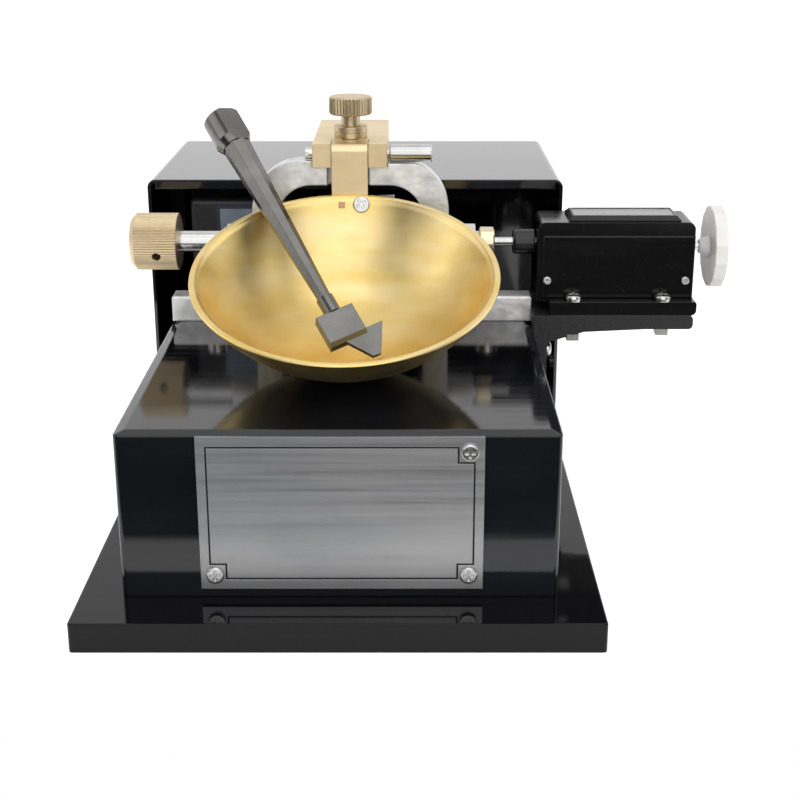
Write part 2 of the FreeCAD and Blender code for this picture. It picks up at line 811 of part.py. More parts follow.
def make_cam():
    steps = 24
    lift_points = [cam_point(math.radians(cam_turn) * i / steps) for i in range(steps + 1)]
    start, end = lift_points[0], lift_points[-1]
    low = math.hypot(start[0], start[1])
    fall_angle = math.atan2(end[1], end[0]) - math.radians(cam_end_relief)
    start_angle = math.atan2(start[1], start[0]) - 2 * math.pi
    middle_angle = (fall_angle + start_angle) / 2

    def at(y, z):
        return vec(-cam_half_width, camshaft_y + y, camshaft_z + z)

    curve = Part.BSplineCurve()
    curve.interpolate([at(y, z) for y, z in lift_points])
    foot = at(low * math.cos(fall_angle), low * math.sin(fall_angle))
    dwell_middle = at(low * math.cos(middle_angle), low * math.sin(middle_angle))
    dwell = Part.Arc(foot, dwell_middle, at(start[0], start[1]))
    step = Part.LineSegment(at(end[0], end[1]), foot)
    wire = Part.Wire([curve.toShape(), step.toShape(), dwell.toShape()])
    cam = Part.Face(wire).extrude(vec(2 * cam_half_width, 0, 0))
    hub_end = cam_half_width + cam_hub_length
    cam = cam.fuse(rod_x(cam_half_width - hub_overlap, hub_end, camshaft_y, camshaft_z, cam_hub_radius))
    cam = cam.cut(rod_x(-cam_half_width, hub_end, camshaft_y, camshaft_z, shaft_radius))
    return cam.cut(cam_set_screw).removeSplitter()


def radial_screw(x, angle, outer_radius, inner_radius):
    """A set screw that reaches from an outer radius in to the shaft, at an angle in the Y-Z plane."""
    a = math.radians(angle)
    direction = vec(0, math.cos(a), math.sin(a))
    start = vec(x, camshaft_y, camshaft_z) + direction * inner_radius
    screw = Part.makeCylinder(set_screw_radius, outer_radius - inner_radius, start, direction)
    return screw


knob_screw_x = (knob_outer_end + knob_inner_end) / 2 + knob_screw_offset
cam_set_screw = radial_screw(cam_half_width + cam_hub_length / 2, 90, cam_hub_radius - set_screw_recess,
                             shaft_radius)
gear_set_screw = radial_screw(gear_end + gear_hub_length / 2, 90, gear_hub_radius - set_screw_recess,
                              shaft_radius)
knob_set_screw = radial_screw(knob_screw_x, knob_screw_angle, shaft_radius + set_screw_length, shaft_radius)
collar_set_screw = radial_screw((collar_start + shaft_step) / 2, collar_screw_angle,
                                collar_radius - set_screw_recess, shaft_radius)


def make_camshaft():
    shaft = rod_x(shaft_left_end, shaft_step, camshaft_y, camshaft_z, shaft_radius)
    thin_end = rod_x(shaft_step, thin_shaft_end, camshaft_y, camshaft_z, thin_shaft_radius)
    return shaft.fuse(thin_end).removeSplitter()


def make_knob():
    length = knob_inner_end - knob_outer_end
    knob = fluted_disc(knob_radius, length, knob_flutes, knob_flute_depth, knob_bevel, knob_inner_bevel)
    knob = place(knob, vec(knob_outer_end, camshaft_y, camshaft_z), vec(1, 0, 0))
    knob = knob.cut(rod_x(shaft_left_end, knob_inner_end, camshaft_y, camshaft_z, shaft_radius))
    hole = radial_screw(knob_screw_x, knob_screw_angle, knob_radius + 1, shaft_radius - 0.01)
    return knob.cut(hole)


def make_collar():
    collar = rod_x(collar_start, shaft_step, camshaft_y, camshaft_z, collar_radius)
    ends = [e for e in collar.Edges if isinstance(e.Curve, Part.Circle)]
    collar = collar.makeChamfer(collar_bevel, ends)
    collar = collar.cut(rod_x(collar_start, shaft_step, camshaft_y, camshaft_z, shaft_radius))
    return collar.cut(collar_set_screw)


def make_sleeve():
    sleeve = rod_x(sleeve_start, sleeve_end, camshaft_y, camshaft_z, sleeve_radius)
    middle = (sleeve_start + sleeve_end) / 2
    sleeve = sleeve.makeFillet(sleeve_left_round, [e for e in sleeve.Edges if e.BoundBox.XMax < middle])
    sleeve = sleeve.makeFillet(sleeve_right_round, [e for e in sleeve.Edges if e.BoundBox.XMin > middle])
    return sleeve.cut(rod_x(sleeve_start, sleeve_end, camshaft_y, camshaft_z, thin_shaft_radius))


def make_input_shaft():
    end = counter_left + counter_wall + input_shaft_reach
    shaft = rod_x(input_shaft_start, end, camshaft_y, camshaft_z, thin_shaft_radius)
    pinion_start = counter_left + counter_wall + input_pinion_gap
    pinion = rod_x(pinion_start, end, camshaft_y, camshaft_z, 2 * thin_shaft_radius)
    return shaft.fuse(pinion).removeSplitter()


# Gears
def involute(angle):
    return math.tan(angle) - angle


def gear(teeth, centre_y, centre_z, tooth_angle, start, end):
    """A spur gear on the X axis, with the middle of one tooth at an angle in the Y-Z plane."""
    pitch_radius = gear_module * teeth / 2
    base_radius = pitch_radius * math.cos(math.radians(pressure_angle))
    tip_radius = pitch_radius + gear_module
    root_radius = pitch_radius - 1.25 * gear_module
    half_tooth = math.pi / (2 * teeth) - gear_backlash / (2 * pitch_radius)
    flank_start = max(root_radius, base_radius)

    def half_angle(radius):
        """Half the tooth's angle at a radius."""
        pressure = math.acos(base_radius / radius)
        return half_tooth + involute(math.radians(pressure_angle)) - involute(pressure)

    radii = [flank_start + (tip_radius - flank_start) * i / 4 for i in range(5)]
    points = []
    for tooth in range(teeth):
        middle = tooth_angle + 2 * math.pi * tooth / teeth
        flank = [(root_radius, half_angle(flank_start))] if flank_start > root_radius else []
        flank += [(r, half_angle(r)) for r in radii]
        for r, a in flank:
            points.append((r, middle - a))
        for r, a in reversed(flank):
            points.append((r, middle + a))
    outline = [(centre_y + r * math.cos(a), centre_z + r * math.sin(a)) for r, a in points]
    return prism_x(outline, start, end)


def mesh_angle(teeth_a, tooth_angle_a, line_angle, teeth_b):
    """The second gear's tooth angle that meshes with the first along the line of centres."""
    phase = (line_angle - tooth_angle_a) * teeth_a / (2 * math.pi)
    return line_angle + math.pi - (0.5 - phase) * 2 * math.pi / teeth_b


first_line = math.atan2(idler_z - camshaft_z, idler_y - camshaft_y)
second_line = math.atan2(motor_z - idler_z, motor_y - idler_y)
camshaft_tooth = first_line
idler_tooth = mesh_angle(camshaft_gear_teeth, camshaft_tooth, first_line, idler_teeth)
pinion_tooth = mesh_angle(idler_teeth, idler_tooth, second_line, pinion_teeth)


def make_camshaft_gear():
    wheel = gear(camshaft_gear_teeth, camshaft_y, camshaft_z, camshaft_tooth, gear_start, gear_end)
    hub = rod_x(gear_end - hub_overlap, gear_end + gear_hub_length, camshaft_y, camshaft_z, gear_hub_radius)
    wheel = wheel.fuse(hub)
    wheel = wheel.cut(rod_x(gear_start, gear_end + gear_hub_length, camshaft_y, camshaft_z, shaft_radius))
    return wheel.cut(gear_set_screw).removeSplitter()


def make_idler():
    wheel = gear(idler_teeth, idler_y, idler_z, idler_tooth, gear_start, gear_end)
    spacer = rod_x(bracket_plate_end, gear_start + hub_overlap, idler_y, idler_z, axle_head_radius)
    wheel = wheel.fuse(spacer)
    bore = axle_radius + running_clearance
    return wheel.cut(rod_x(bracket_plate_end, gear_end, idler_y, idler_z, bore)).removeSplitter()


def make_idler_axle():
    head_start = gear_end + rest_clearance
    axle = rod_x(gearbox_end, head_start, idler_y, idler_z, axle_radius)
    head = rod_x(head_start, head_start + axle_head_thickness, idler_y, idler_z, axle_head_radius)
    return axle.fuse(head).removeSplitter()


def make_pinion():
    wheel = gear(pinion_teeth, motor_y, motor_z, pinion_tooth, gear_start, gear_end)
    return wheel.cut(rod_x(gear_start, gear_end, motor_y, motor_z, motor_shaft_radius))


# Drop carriage, clamp and adjusting screw
def make_carriage():
    half = carriage_width / 2
    block = box((-half, half), (carriage_front, carriage_back), (channel_z, carriage_top))
    block = block.makeChamfer(0.3, edges_along(block, vec(0, 1, 0), lambda p: p.z > carriage_top - 1e-3))
    gap_half = hanger_width / 2 + sliding_clearance
    block = block.cut(box((-gap_half, gap_half), (carriage_front, carriage_front + clevis_gap_depth),
                          (channel_z, carriage_top)))
    slot_half = clamp_shank_radius + clamp_slot_play
    slot_end = clamp_y + carriage_travel + clamp_slot_margin
    slot = rod_z(channel_z, carriage_top, 0, clamp_y, slot_half)
    slot = slot.fuse(rod_z(channel_z, carriage_top, 0, slot_end, slot_half))
    slot = slot.fuse(box((-slot_half, slot_half), (clamp_y, slot_end), (channel_z, carriage_top)))
    block = block.cut(slot)
    block = block.cut(rod_x(-half, half, pivot_y, pivot_z, pin_radius))
    depth = adjuster_reach + 1
    block = block.cut(rod_y(carriage_back - depth, carriage_back, 0, adjuster_z,
                            adjuster_radius + running_clearance))
    return block.removeSplitter()


def make_clamp_screw():
    z = carriage_top + washer_height
    screw = rod_z(channel_z - rail_depth + 1, z, 0, clamp_y, clamp_shank_radius)
    flange = rod_z(z, z + clamp_flange_height, 0, clamp_y, clamp_flange_radius)
    flange = flange.makeFillet(0.4, [e for e in flange.Edges if e.BoundBox.ZMin > z + 1])
    z += clamp_flange_height
    neck = rod_z(z, z + clamp_neck_height, 0, clamp_y, clamp_neck_radius)
    z += clamp_neck_height
    head = fluted_disc(clamp_head_radius, clamp_head_height, clamp_head_flutes, clamp_flute_depth,
                       clamp_head_bevel, clamp_head_bevel)
    head.translate(vec(0, clamp_y, z))
    return screw.fuse([flange, neck, head]).removeSplitter()


def make_clamp_washer():
    washer = rod_z(carriage_top, carriage_top + washer_height, 0, clamp_y, washer_radius)
    washer = washer.makeFillet(0.3, [e for e in washer.Edges if e.BoundBox.ZMin > carriage_top + 1])
    return washer.cut(rod_z(carriage_top, carriage_top + washer_height, 0, clamp_y,
                            clamp_shank_radius + running_clearance))


def make_adjusting_screw():
    screw = rod_y(carriage_back - adjuster_reach, lug_back + rest_clearance, 0, adjuster_z, adjuster_radius)
    collar_end = lug_front - rest_clearance
    collar = rod_y(collar_end - adjuster_collar_thickness, collar_end, 0, adjuster_z, adjuster_collar_radius)
    head = fluted_disc(adjuster_head_radius, adjuster_head_length, adjuster_head_flutes,
                       adjuster_flute_depth, adjuster_head_bevel, adjuster_head_bevel)
    head = place(head, vec(0, lug_back + rest_clearance, adjuster_z), vec(0, 1, 0))
    return screw.fuse([collar, head]).removeSplitter()


# Pivot pin and hanger
def make_pivot_pin():
    left = -carriage_width / 2 - pin_left_overhang
    ear = carriage_width / 2
    neck_end = ear + pin_neck_length
    pin = rod_x(left, ear, pivot_y, pivot_z, pin_radius)
    pin = pin.fuse(rod_x(ear, neck_end, pivot_y, pivot_z, pin_neck_radius))
    handle = rod_x(neck_end, neck_end + pin_handle_length, pivot_y, pivot_z, pin_handle_radius)
    handle = handle.makeChamfer(0.3, [e for e in handle.Edges if isinstance(e.Curve, Part.Circle)])
    slot = box((left, left + pin_slot_depth), (pivot_y - pin_radius, pivot_y + pin_radius),
               (pivot_z - pin_slot_width / 2, pivot_z + pin_slot_width / 2))
    return pin.fuse(handle).cut(slot).removeSplitter()


def make_hanger():
    half = hanger_width / 2
    head_back = pivot_y + hanger_head_behind_pin
    head_bottom = pivot_z - hanger_head_below_pin
    strip = box((-half, half), (hanger_front, hanger_back), (block_top + hanger_bottom, carriage_top))
    head = box((-half, half), (hanger_front, head_back), (head_bottom, carriage_top))
    hanger = strip.fuse(head).removeSplitter()
    front_top = edges_along(hanger, vec(1, 0, 0),
                            lambda p: p.z > carriage_top - 1e-3 and p.y < hanger_front + 1e-3)
    hanger = hanger.makeFillet(hanger_round, front_top)
    pad = box((-half, half), (hanger_front - cup_wall * 3, hanger_front),
              (block_top + pad_bottom, block_top + pad_top))
    pad = pad.cut(Part.makeSphere(cup_outer_radius, vec(0, cup_centre_y, cup_centre_z)))
    hanger = hanger.fuse(pad)
    hanger = hanger.cut(rod_x(-half, half, pivot_y, pivot_z, pin_radius + running_clearance))
    return hanger.cut(cup_screw).cut(cup_peg).removeSplitter()


# Cup
def cup_wall_point(x, height):
    """A point on the cup's inner rear wall, and the outward direction there."""
    rise = block_top + height - cup_centre_z
    back = math.sqrt(cup_inner_radius ** 2 - x ** 2 - rise ** 2)
    outward = vec(x, back, rise)
    outward.normalize()
    return vec(x, cup_centre_y + back, block_top + height), outward


def make_cup_screw():
    point, outward = cup_wall_point(cup_screw_x, cup_screw_height)
    head = Part.makeCylinder(cup_screw_head_radius, cup_screw_head_height)
    head = head.makeFillet(cup_screw_head_height * 0.5,
                           [e for e in head.Edges if e.BoundBox.ZMin > cup_screw_head_height * 0.9])
    recess = cross_recess(cup_screw_slot_width, cup_screw_slot_length, cup_screw_slot_depth,
                          cup_screw_head_height)
    recess.rotate(vec(0, 0, 0), vec(0, 0, 1), cup_screw_slot_turn)
    head = head.cut(recess)
    head = head.fuse(Part.makeCylinder(cup_screw_radius, cup_screw_length, vec(0, 0, -cup_screw_length)))
    return place(head.removeSplitter(), point - outward * cup_screw_seat, outward * -1)


def make_cup_peg():
    point, outward = cup_wall_point(peg_x, peg_height)
    peg = box((-peg_side / 2, peg_side / 2), (-peg_side / 2, peg_side / 2), (-peg_length, peg_proud))
    return place(peg, point, outward * -1)


cup_screw = make_cup_screw()
cup_peg = make_cup_peg()


def make_cup():
    rim = -rim_below_centre
    outer_rim = math.sqrt(cup_outer_radius ** 2 - rim ** 2)
    inner_rim = math.sqrt(cup_inner_radius ** 2 - rim ** 2)

    def on(radius, share, rim_radius):
        """A point of the bowl's section, at a share of the way from the pole to the rim."""
        angle = share * math.asin(rim_radius / radius)
        return vec(radius * math.sin(angle), 0, -radius * math.cos(angle))

    outer = Part.Arc(on(cup_outer_radius, 0, outer_rim), on(cup_outer_radius, 0.5, outer_rim),
                     on(cup_outer_radius, 1, outer_rim))
    inner = Part.Arc(on(cup_inner_radius, 1, inner_rim), on(cup_inner_radius, 0.5, inner_rim),
                     on(cup_inner_radius, 0, inner_rim))
    wire = Part.Wire([outer.toShape(),
                      Part.LineSegment(vec(outer_rim, 0, rim), vec(inner_rim, 0, rim)).toShape(),
                      inner.toShape(),
                      Part.LineSegment(vec(0, 0, -cup_inner_radius), vec(0, 0, -cup_outer_radius)).toShape()])
    cup = Part.Face(wire).revolve(vec(0, 0, 0), vec(0, 0, 1), 360)
    lip = [e for e in cup.Edges if e.BoundBox.ZMin > rim - 0.01]
    cup = cup.makeFillet(cup_lip_radius, lip)
    tilt = FreeCAD.Rotation(vec(1, 0, 0), cup_tilt)
    cup.Placement = FreeCAD.Placement(vec(0, cup_centre_y, cup_centre_z), tilt)
    return cup.cut(cup_screw).cut(cup_peg)


# Grooving tool
tool_rim = vec(tool_rim_x, block_front + tool_rim_setback, block_top + tool_rim_height)
tool_tip = vec(tool_tip_x, block_front + tool_tip_setback, block_top + tool_tip_height)
tool_axis = tool_rim - tool_tip
tool_axis.normalize()
tool_face = vec(0, -1, 0) - tool_axis * tool_axis.dot(vec(0, -1, 0))
tool_face.normalize()
tool_side = tool_face.cross(tool_axis) * -1
tool_roll = FreeCAD.Rotation(tool_axis, blade_roll)
tool_face = tool_roll.multVec(tool_face)
tool_side = tool_roll.multVec(tool_side)
tool_origin = tool_tip + tool_face * tool_lift


def on_tool(side, face, along):
    """A point in the tool's own frame: sideways, towards the blade's face, and up the shank."""
    return tool_origin + tool_side * side + tool_face * face + tool_axis * along


def tool_solid(points, face_start, face_end):
    """An outline of (side, along) points pulled through the tool's thickness."""
    wire = Part.makePolygon([on_tool(s, face_start, a) for s, a in points + points[:1]])
    return Part.Face(wire).extrude(tool_face * (face_end - face_start))


def make_tool_head():
    """A turned gauge head with a narrow skirt below and one flat."""
    r = tool_head_radius
    profile = [(0, 0), (tool_skirt_radius, 0), (r, tool_skirt_length),
               (r, tool_head_length - tool_head_bevel), (r - tool_head_bevel, tool_head_length),
               (0, tool_head_length)]
    outline = [vec(radius, 0, height) for radius, height in profile]
    head = Part.Face(Part.makePolygon(outline + outline[:1])).revolve(vec(0, 0, 0), vec(0, 0, 1), 360)
    head = place(head, on_tool(0, 0, tool_head_start), tool_axis)
    turn = math.radians(tool_head_flat_turn)
    normal = tool_face * math.cos(turn) + tool_side * math.sin(turn)
    middle = on_tool(0, 0, tool_head_start + tool_head_length / 2)
    beyond_flat = Part.makeCylinder(2 * tool_head_length, r, middle + normal * tool_head_flat, normal)
    return head.cut(beyond_flat)


def shank_outline(radius, along):
    """A closed wire with flat sides round the tool's axis."""
    points = []
    for i in range(tool_shank_sides):
        angle = 2 * math.pi * (i + 0.5) / tool_shank_sides
        points.append(on_tool(radius * math.cos(angle), radius * math.sin(angle), along))
    return Part.makePolygon(points + points[:1])


def make_tool_shank():
    shank = Part.makeLoft([shank_outline(tool_shank_bottom_radius, tool_collar_end),
                           shank_outline(tool_shank_top_radius, tool_head_start)], True, True)
    collar = Part.makeCylinder(tool_collar_radius, tool_collar_end - tool_collar_start,
                               on_tool(0, 0, tool_collar_start), tool_axis)
    return shank.fuse(collar).removeSplitter()


def make_tool_blade():
    """The block that holds the blade, its lower front edge bevelled down to the blade's face."""
    half = tool_block_width / 2
    back = -tool_block_thickness / 2
    front = tool_block_thickness / 2
    blade_front = blade_thickness / 2
    bevel_top = tool_block_end + tool_block_bevel
    section = [(back, tool_block_end), (blade_front, tool_block_end), (front, bevel_top),
               (front, tool_collar_start), (back, tool_collar_start)]
    wire = Part.makePolygon([on_tool(-half, face, along) for face, along in section + section[:1]])
    block = Part.Face(wire).extrude(tool_side * tool_block_width)
    tip = blade_tip_width / 2
    root_top = blade_shoulder + blade_root
    blade = tool_solid([(blade_tip_offset - tip, blade_start), (blade_tip_offset + tip, blade_start),
                        (blade_right_reach, blade_shoulder), (blade_tip_offset, blade_shoulder),
                        (blade_tip_offset, root_top), (-blade_left_reach, root_top),
                        (-blade_left_reach, tool_block_end)],
                       blade_front - blade_thickness, blade_front)
    return block.fuse(blade).removeSplitter()


# Counter
mounting_places = [(mounting_screw_left + i * mounting_screw_spacing, y)
                   for i in (0, 1)
                   for y in (block_front + mounting_screw_setback,
                             counter_back + counter_front - block_front - mounting_screw_setback)]
foot_top_z = block_top + counter_bottom
counter_top_z = block_top + counter_top


def mounting_nut_top(x):
    """The height that a mounting nut is drawn up to."""
    drop = left_nut_drop if x == mounting_screw_left else 0
    return block_top + bracket_top - bracket_thickness - drop


def mounting_screw(x, y):
    length = foot_top_z - mounting_nut_top(x) + mounting_nut_height
    screw = pan_screw(mounting_screw_head_radius, mounting_screw_head_height, mounting_screw_radius, length)
    return place(screw, vec(x, y, foot_top_z), vec(0, 0, 1))


mounting_screws = [mounting_screw(x, y) for x, y in mounting_places]


def cover_screw(x):
    screw = pan_screw(cover_screw_head_radius, cover_screw_head_height, cover_screw_radius,
                      cover_screw_length)
    seat = vec(x, counter_front - cover_thickness, block_top + cover_screw_height)
    return place(screw, seat, vec(0, -1, 0))


cover_screw_right = counter_right - cover_screw_inset
cover_screws = [cover_screw(x) for x in (cover_screw_right - cover_screw_spacing, cover_screw_right)]


def make_counter_case():
    body = box((counter_left, counter_right), (counter_front, counter_back),
               (foot_top_z - counter_floor, counter_top_z))
    rounded = edges_along(body, vec(0, 1, 0), lambda p: p.z > counter_top_z - 1e-3)
    body = body.makeFillet(counter_corner_radius, rounded)
    foot = box((foot_left, foot_right), (foot_front, foot_back), (foot_bottom_z, foot_top_z))
    left_corners = edges_along(foot, vec(0, 0, 1), lambda p: p.x < foot_left + 1)
    foot = foot.makeFillet(foot_corner_radius, left_corners)
    for radius, height in ((foot_lower_round, foot_bottom_z), (foot_upper_round, foot_top_z)):
        right_edge = edges_along(foot, vec(0, 1, 0),
                                 lambda p: p.x > foot_right - 1e-3 and abs(p.z - height) < 1e-3)
        foot = foot.makeFillet(radius, right_edge)
    case = body.fuse(foot)
    w = counter_wall
    case = case.cut(box((counter_left + w, counter_right - w), (counter_front + w, counter_back - w),
                        (foot_top_z, counter_top_z - w)))
    opening_inset = cover_screw_inset + cover_left_inset
    case = case.cut(box((counter_left + opening_inset, counter_right - opening_inset),
                        (counter_front - 1, counter_front + w + 1),
                        (foot_top_z + w, block_top + cover_top - w)))
    case = case.cut(window_hole(counter_top_z - w - 1, counter_top_z + 1))
    case = case.cut(rod_x(counter_left - 1, counter_left + w + 1, camshaft_y, camshaft_z,
                          thin_shaft_radius + running_clearance))
    case = case.cut(rod_x(counter_right - w - 1, counter_right + 1, wheel_y, wheel_z,
                          reset_shaft_radius + running_clearance))
    shelf = box((reset_shaft_start - counter_shelf_thickness, reset_shaft_start),
                (counter_front + w, counter_back - w), (foot_top_z, wheel_z + counter_shelf_rise))
    case = case.fuse(shelf)
    for screw in mounting_screws + cover_screws:
        case = case.cut(screw)
    return case.removeSplitter()


def make_counter_cover():
    cover = box((counter_left + cover_left_inset, counter_right),
                (counter_front - cover_thickness, counter_front), (foot_top_z, block_top + cover_top))
    front_edges = [e for e in cover.Edges if e.BoundBox.YMax < counter_front - cover_thickness + 1e-3]
    cover = cover.makeChamfer(cover_bevel, front_edges)
    for screw in cover_screws:
        cover = cover.cut(screw)
    return cover


def window_hole(bottom, top):
    """The clear opening inside the window's frame, between two heights."""
    return box((window_left + window_border, window_right - window_border),
               (window_front + window_border, window_back - window_border), (bottom, top))


def make_window_frame():
    top = counter_top_z + window_frame_height
    outline = box((window_left, window_right), (window_front, window_back), (counter_top_z, top))
    top_edges = [e for e in outline.Edges if e.BoundBox.ZMin > top - 1e-3]
    outline = outline.makeChamfer(window_frame_bevel, top_edges)
    return outline.cut(window_hole(counter_top_z - 1, top + 1))


def make_window():
    top = counter_top_z + window_frame_height - window_drop
    return window_hole(top - window_thickness, top)


def digit_wheel(index):
    start = wheel_start + index * wheel_pitch
    wheel = rod_x(start, start + wheel_width, wheel_y, wheel_z, wheel_radius)
    groove_start = start + wheel_width - wheel_groove_depth
    groove = rod_x(groove_start, start + wheel_width, wheel_y, wheel_z, wheel_radius - wheel_rim)
    hub = rod_x(groove_start, start + wheel_width, wheel_y, wheel_z, 2 * reset_shaft_radius)
    wheel = wheel.cut(groove.cut(hub))
    bore = reset_shaft_radius + (running_clearance if index == 0 else 0)
    return wheel.cut(rod_x(start, start + wheel_width, wheel_y, wheel_z, bore))


def make_reset_shaft():
    return rod_x(reset_shaft_start, reset_knob_start + reset_knob_width / 2, wheel_y, wheel_z,
                 reset_shaft_radius)


def make_reset_knob():
    n = reset_knob_facets
    points = [(wheel_y + reset_knob_radius * math.cos(2 * math.pi * (i + 0.5) / n),
               wheel_z + reset_knob_radius * math.sin(2 * math.pi * (i + 0.5) / n)) for i in range(n)]
    knob = prism_x(points, reset_knob_start, reset_knob_start + reset_knob_width)
    knob = knob.makeFillet(reset_knob_round, [e for e in knob.Edges if e.BoundBox.XLength < 1e-3])
    hub_start = reset_knob_start - reset_hub_length
    hub = Part.makeCone(reset_hub_small_radius, reset_hub_radius, reset_hub_length,
                        vec(hub_start, wheel_y, wheel_z), vec(1, 0, 0))
    bore = rod_x(hub_start, reset_knob_start + reset_knob_width / 2, wheel_y, wheel_z, reset_shaft_radius)
    return knob.fuse(hub).cut(bore).removeSplitter()


def make_mounting_nuts():
    nuts = []
    for x, y in mounting_places:
        top = mounting_nut_top(x)
        half = mounting_nut_width / 2
        nut = box((x - half, x + half), (y - half, y + half), (top - mounting_nut_height, top))
        nuts.append(nut.cut(rod_z(top - mounting_nut_height, top, x, y, mounting_screw_radius)))
    return group(nuts)


def make_counter_bracket():
    """An angle casting on the block's right side, with a gusset under its shelf."""
    left = block_width / 2
    top = block_top + bracket_top
    bottom = top - bracket_thickness
    leg_right = left + bracket_leg_thickness
    leg_bottom = block_top + bracket_leg_bottom
    shelf = box((left, bracket_right), (foot_front, foot_back), (bottom, top))
    right_edges = edges_along(shelf, vec(0, 1, 0), lambda p: p.x > bracket_right - 1e-3)
    shelf = shelf.makeFillet(bracket_end_round, right_edges)
    leg = box((left, leg_right), (foot_front, foot_back), (leg_bottom, top))
    run, drop = bracket_gusset_kink
    gusset = prism_y([(left + 1, bottom + 1), (leg_right + bracket_gusset_reach, bottom + 1),
                      (leg_right + bracket_gusset_reach, bottom), (leg_right + run, bottom - drop),
                      (leg_right, bottom - bracket_gusset_drop), (left + 1, bottom - bracket_gusset_drop)],
                     foot_front, foot_back)
    bracket = shelf.fuse([leg, gusset])
    spot = mounting_nut_width / 2 + mounting_nut_play
    for x, y in mounting_places:
        if x == mounting_screw_left:
            seat = mounting_nut_top(x)
            bracket = bracket.cut(box((x - spot, x + spot), (y - spot, y + spot),
                                      (seat - mounting_nut_height, seat)))
    for screw in mounting_screws + bracket_screws:
        bracket = bracket.cut(screw)
    return bracket.removeSplitter()


# Hood, motor and panel pieces
def make_hood():
    s = hood_sheet
    shell = box((hood_left, hood_right), (hood_front, hood_back), (plate_thickness, hood_top_z))
    rounded = edges_along(shell, vec(0, 1, 0), lambda p: p.z > hood_top_z - 1e-3)
    rounded += edges_along(shell, vec(0, 0, 1), lambda p: p.y > hood_back - 1e-3)
    rounded += edges_along(shell, vec(1, 0, 0), lambda p: p.z > hood_top_z - 1e-3 and p.y > hood_back - 1e-3)
    shell = shell.makeFillet(hood_corner_radius, rounded)
    inside = box((hood_left + s, hood_right - s), (hood_front - 1, hood_back - s),
                 (plate_thickness - 1, hood_top_z - s))
    r = hood_corner_radius - s
    soft = edges_along(inside, vec(0, 1, 0), lambda p: p.z > hood_top_z - s - 1e-3)
    soft += edges_along(inside, vec(0, 0, 1), lambda p: p.y > hood_back - s - 1e-3)
    soft += edges_along(inside, vec(1, 0, 0),
                        lambda p: p.z > hood_top_z - s - 1e-3 and p.y > hood_back - s - 1e-3)
    inside = inside.makeFillet(r, soft)
    hood = shell.cut(inside)
    lip = box((hood_left + hood_corner_radius, hood_right - hood_corner_radius),
              (hood_front, hood_front + s), (hood_top_z - hood_lip, hood_top_z - s / 2))
    hood = hood.fuse(lip)
    for ends in ((hood_left + s / 2, hood_left + s + hood_flange),
                 (hood_right - s - hood_flange, hood_right - s / 2)):
        hood = hood.fuse(box(ends, (hood_front + hood_corner_radius, hood_back - hood_corner_radius),
                             (plate_thickness, plate_thickness + s)))
    for screw in hood_screws:
        hood = hood.cut(screw)
    hood = hood.cut(panel_cut(inlet_x, inlet_width - 2 * inlet_flange, inlet_height))
    return hood.cut(panel_cut(switch_x, switch_width - 2 * switch_flange,
                              switch_height - 2 * switch_flange)).removeSplitter()


panel_z = plate_thickness + inlet_height_above_plate


def panel_cut(x, width, height):
    return box((x - width / 2, x + width / 2), (hood_back - 2 * hood_sheet, hood_back + 1),
               (panel_z - height / 2, panel_z + height / 2))


def make_hood_screw(x, y):
    screw = pan_screw(hood_screw_head_radius, hood_screw_head_height, hood_screw_radius, hood_screw_length)
    return place(screw, vec(x, y, plate_thickness + hood_sheet), vec(0, 0, 1))


hood_screws = [make_hood_screw(x, y) for x, y in hood_screw_places]


def make_motor():
    half = motor_side / 2
    body = box((motor_left, gearbox_start), (motor_y - half, motor_y + half),
               (motor_z - half, motor_z + half))
    body = body.makeFillet(motor_corner_radius, edges_along(body, vec(1, 0, 0)))
    return body.makeFillet(motor_end_radius, [e for e in body.Edges if e.BoundBox.XMax < motor_left + 1e-3])


motor_screws = []
for quarter in range(4):
    turn = math.pi / 4 + quarter * math.pi / 2
    spot = vec(bracket_plate_end - motor_screw_head_height, motor_y + motor_screw_circle * math.cos(turn),
               motor_z + motor_screw_circle * math.sin(turn))
    flat_screw = socket_screw(motor_screw_head_radius, motor_screw_head_height, motor_screw_radius,
                              motor_screw_length)
    motor_screws.append(place(flat_screw, spot, vec(1, 0, 0)))


def make_gearbox():
    gearbox = rod_x(gearbox_start, gearbox_end, motor_y, motor_z, gearbox_radius)
    gearbox = gearbox.cut(rod_x(gearbox_end - gearbox_bore_depth, gearbox_end, motor_y, motor_z,
                                motor_shaft_radius + running_clearance))
    for screw in motor_screws:
        gearbox = gearbox.cut(screw)
    return gearbox


def make_motor_label():
    half = motor_side / 2
    left = motor_left + label_left_inset
    top = motor_z + half - motor_corner_radius - label_top_inset
    front = motor_y - half
    return box((left, left + label_width), (front - label_thickness, front), (top - label_height, top))


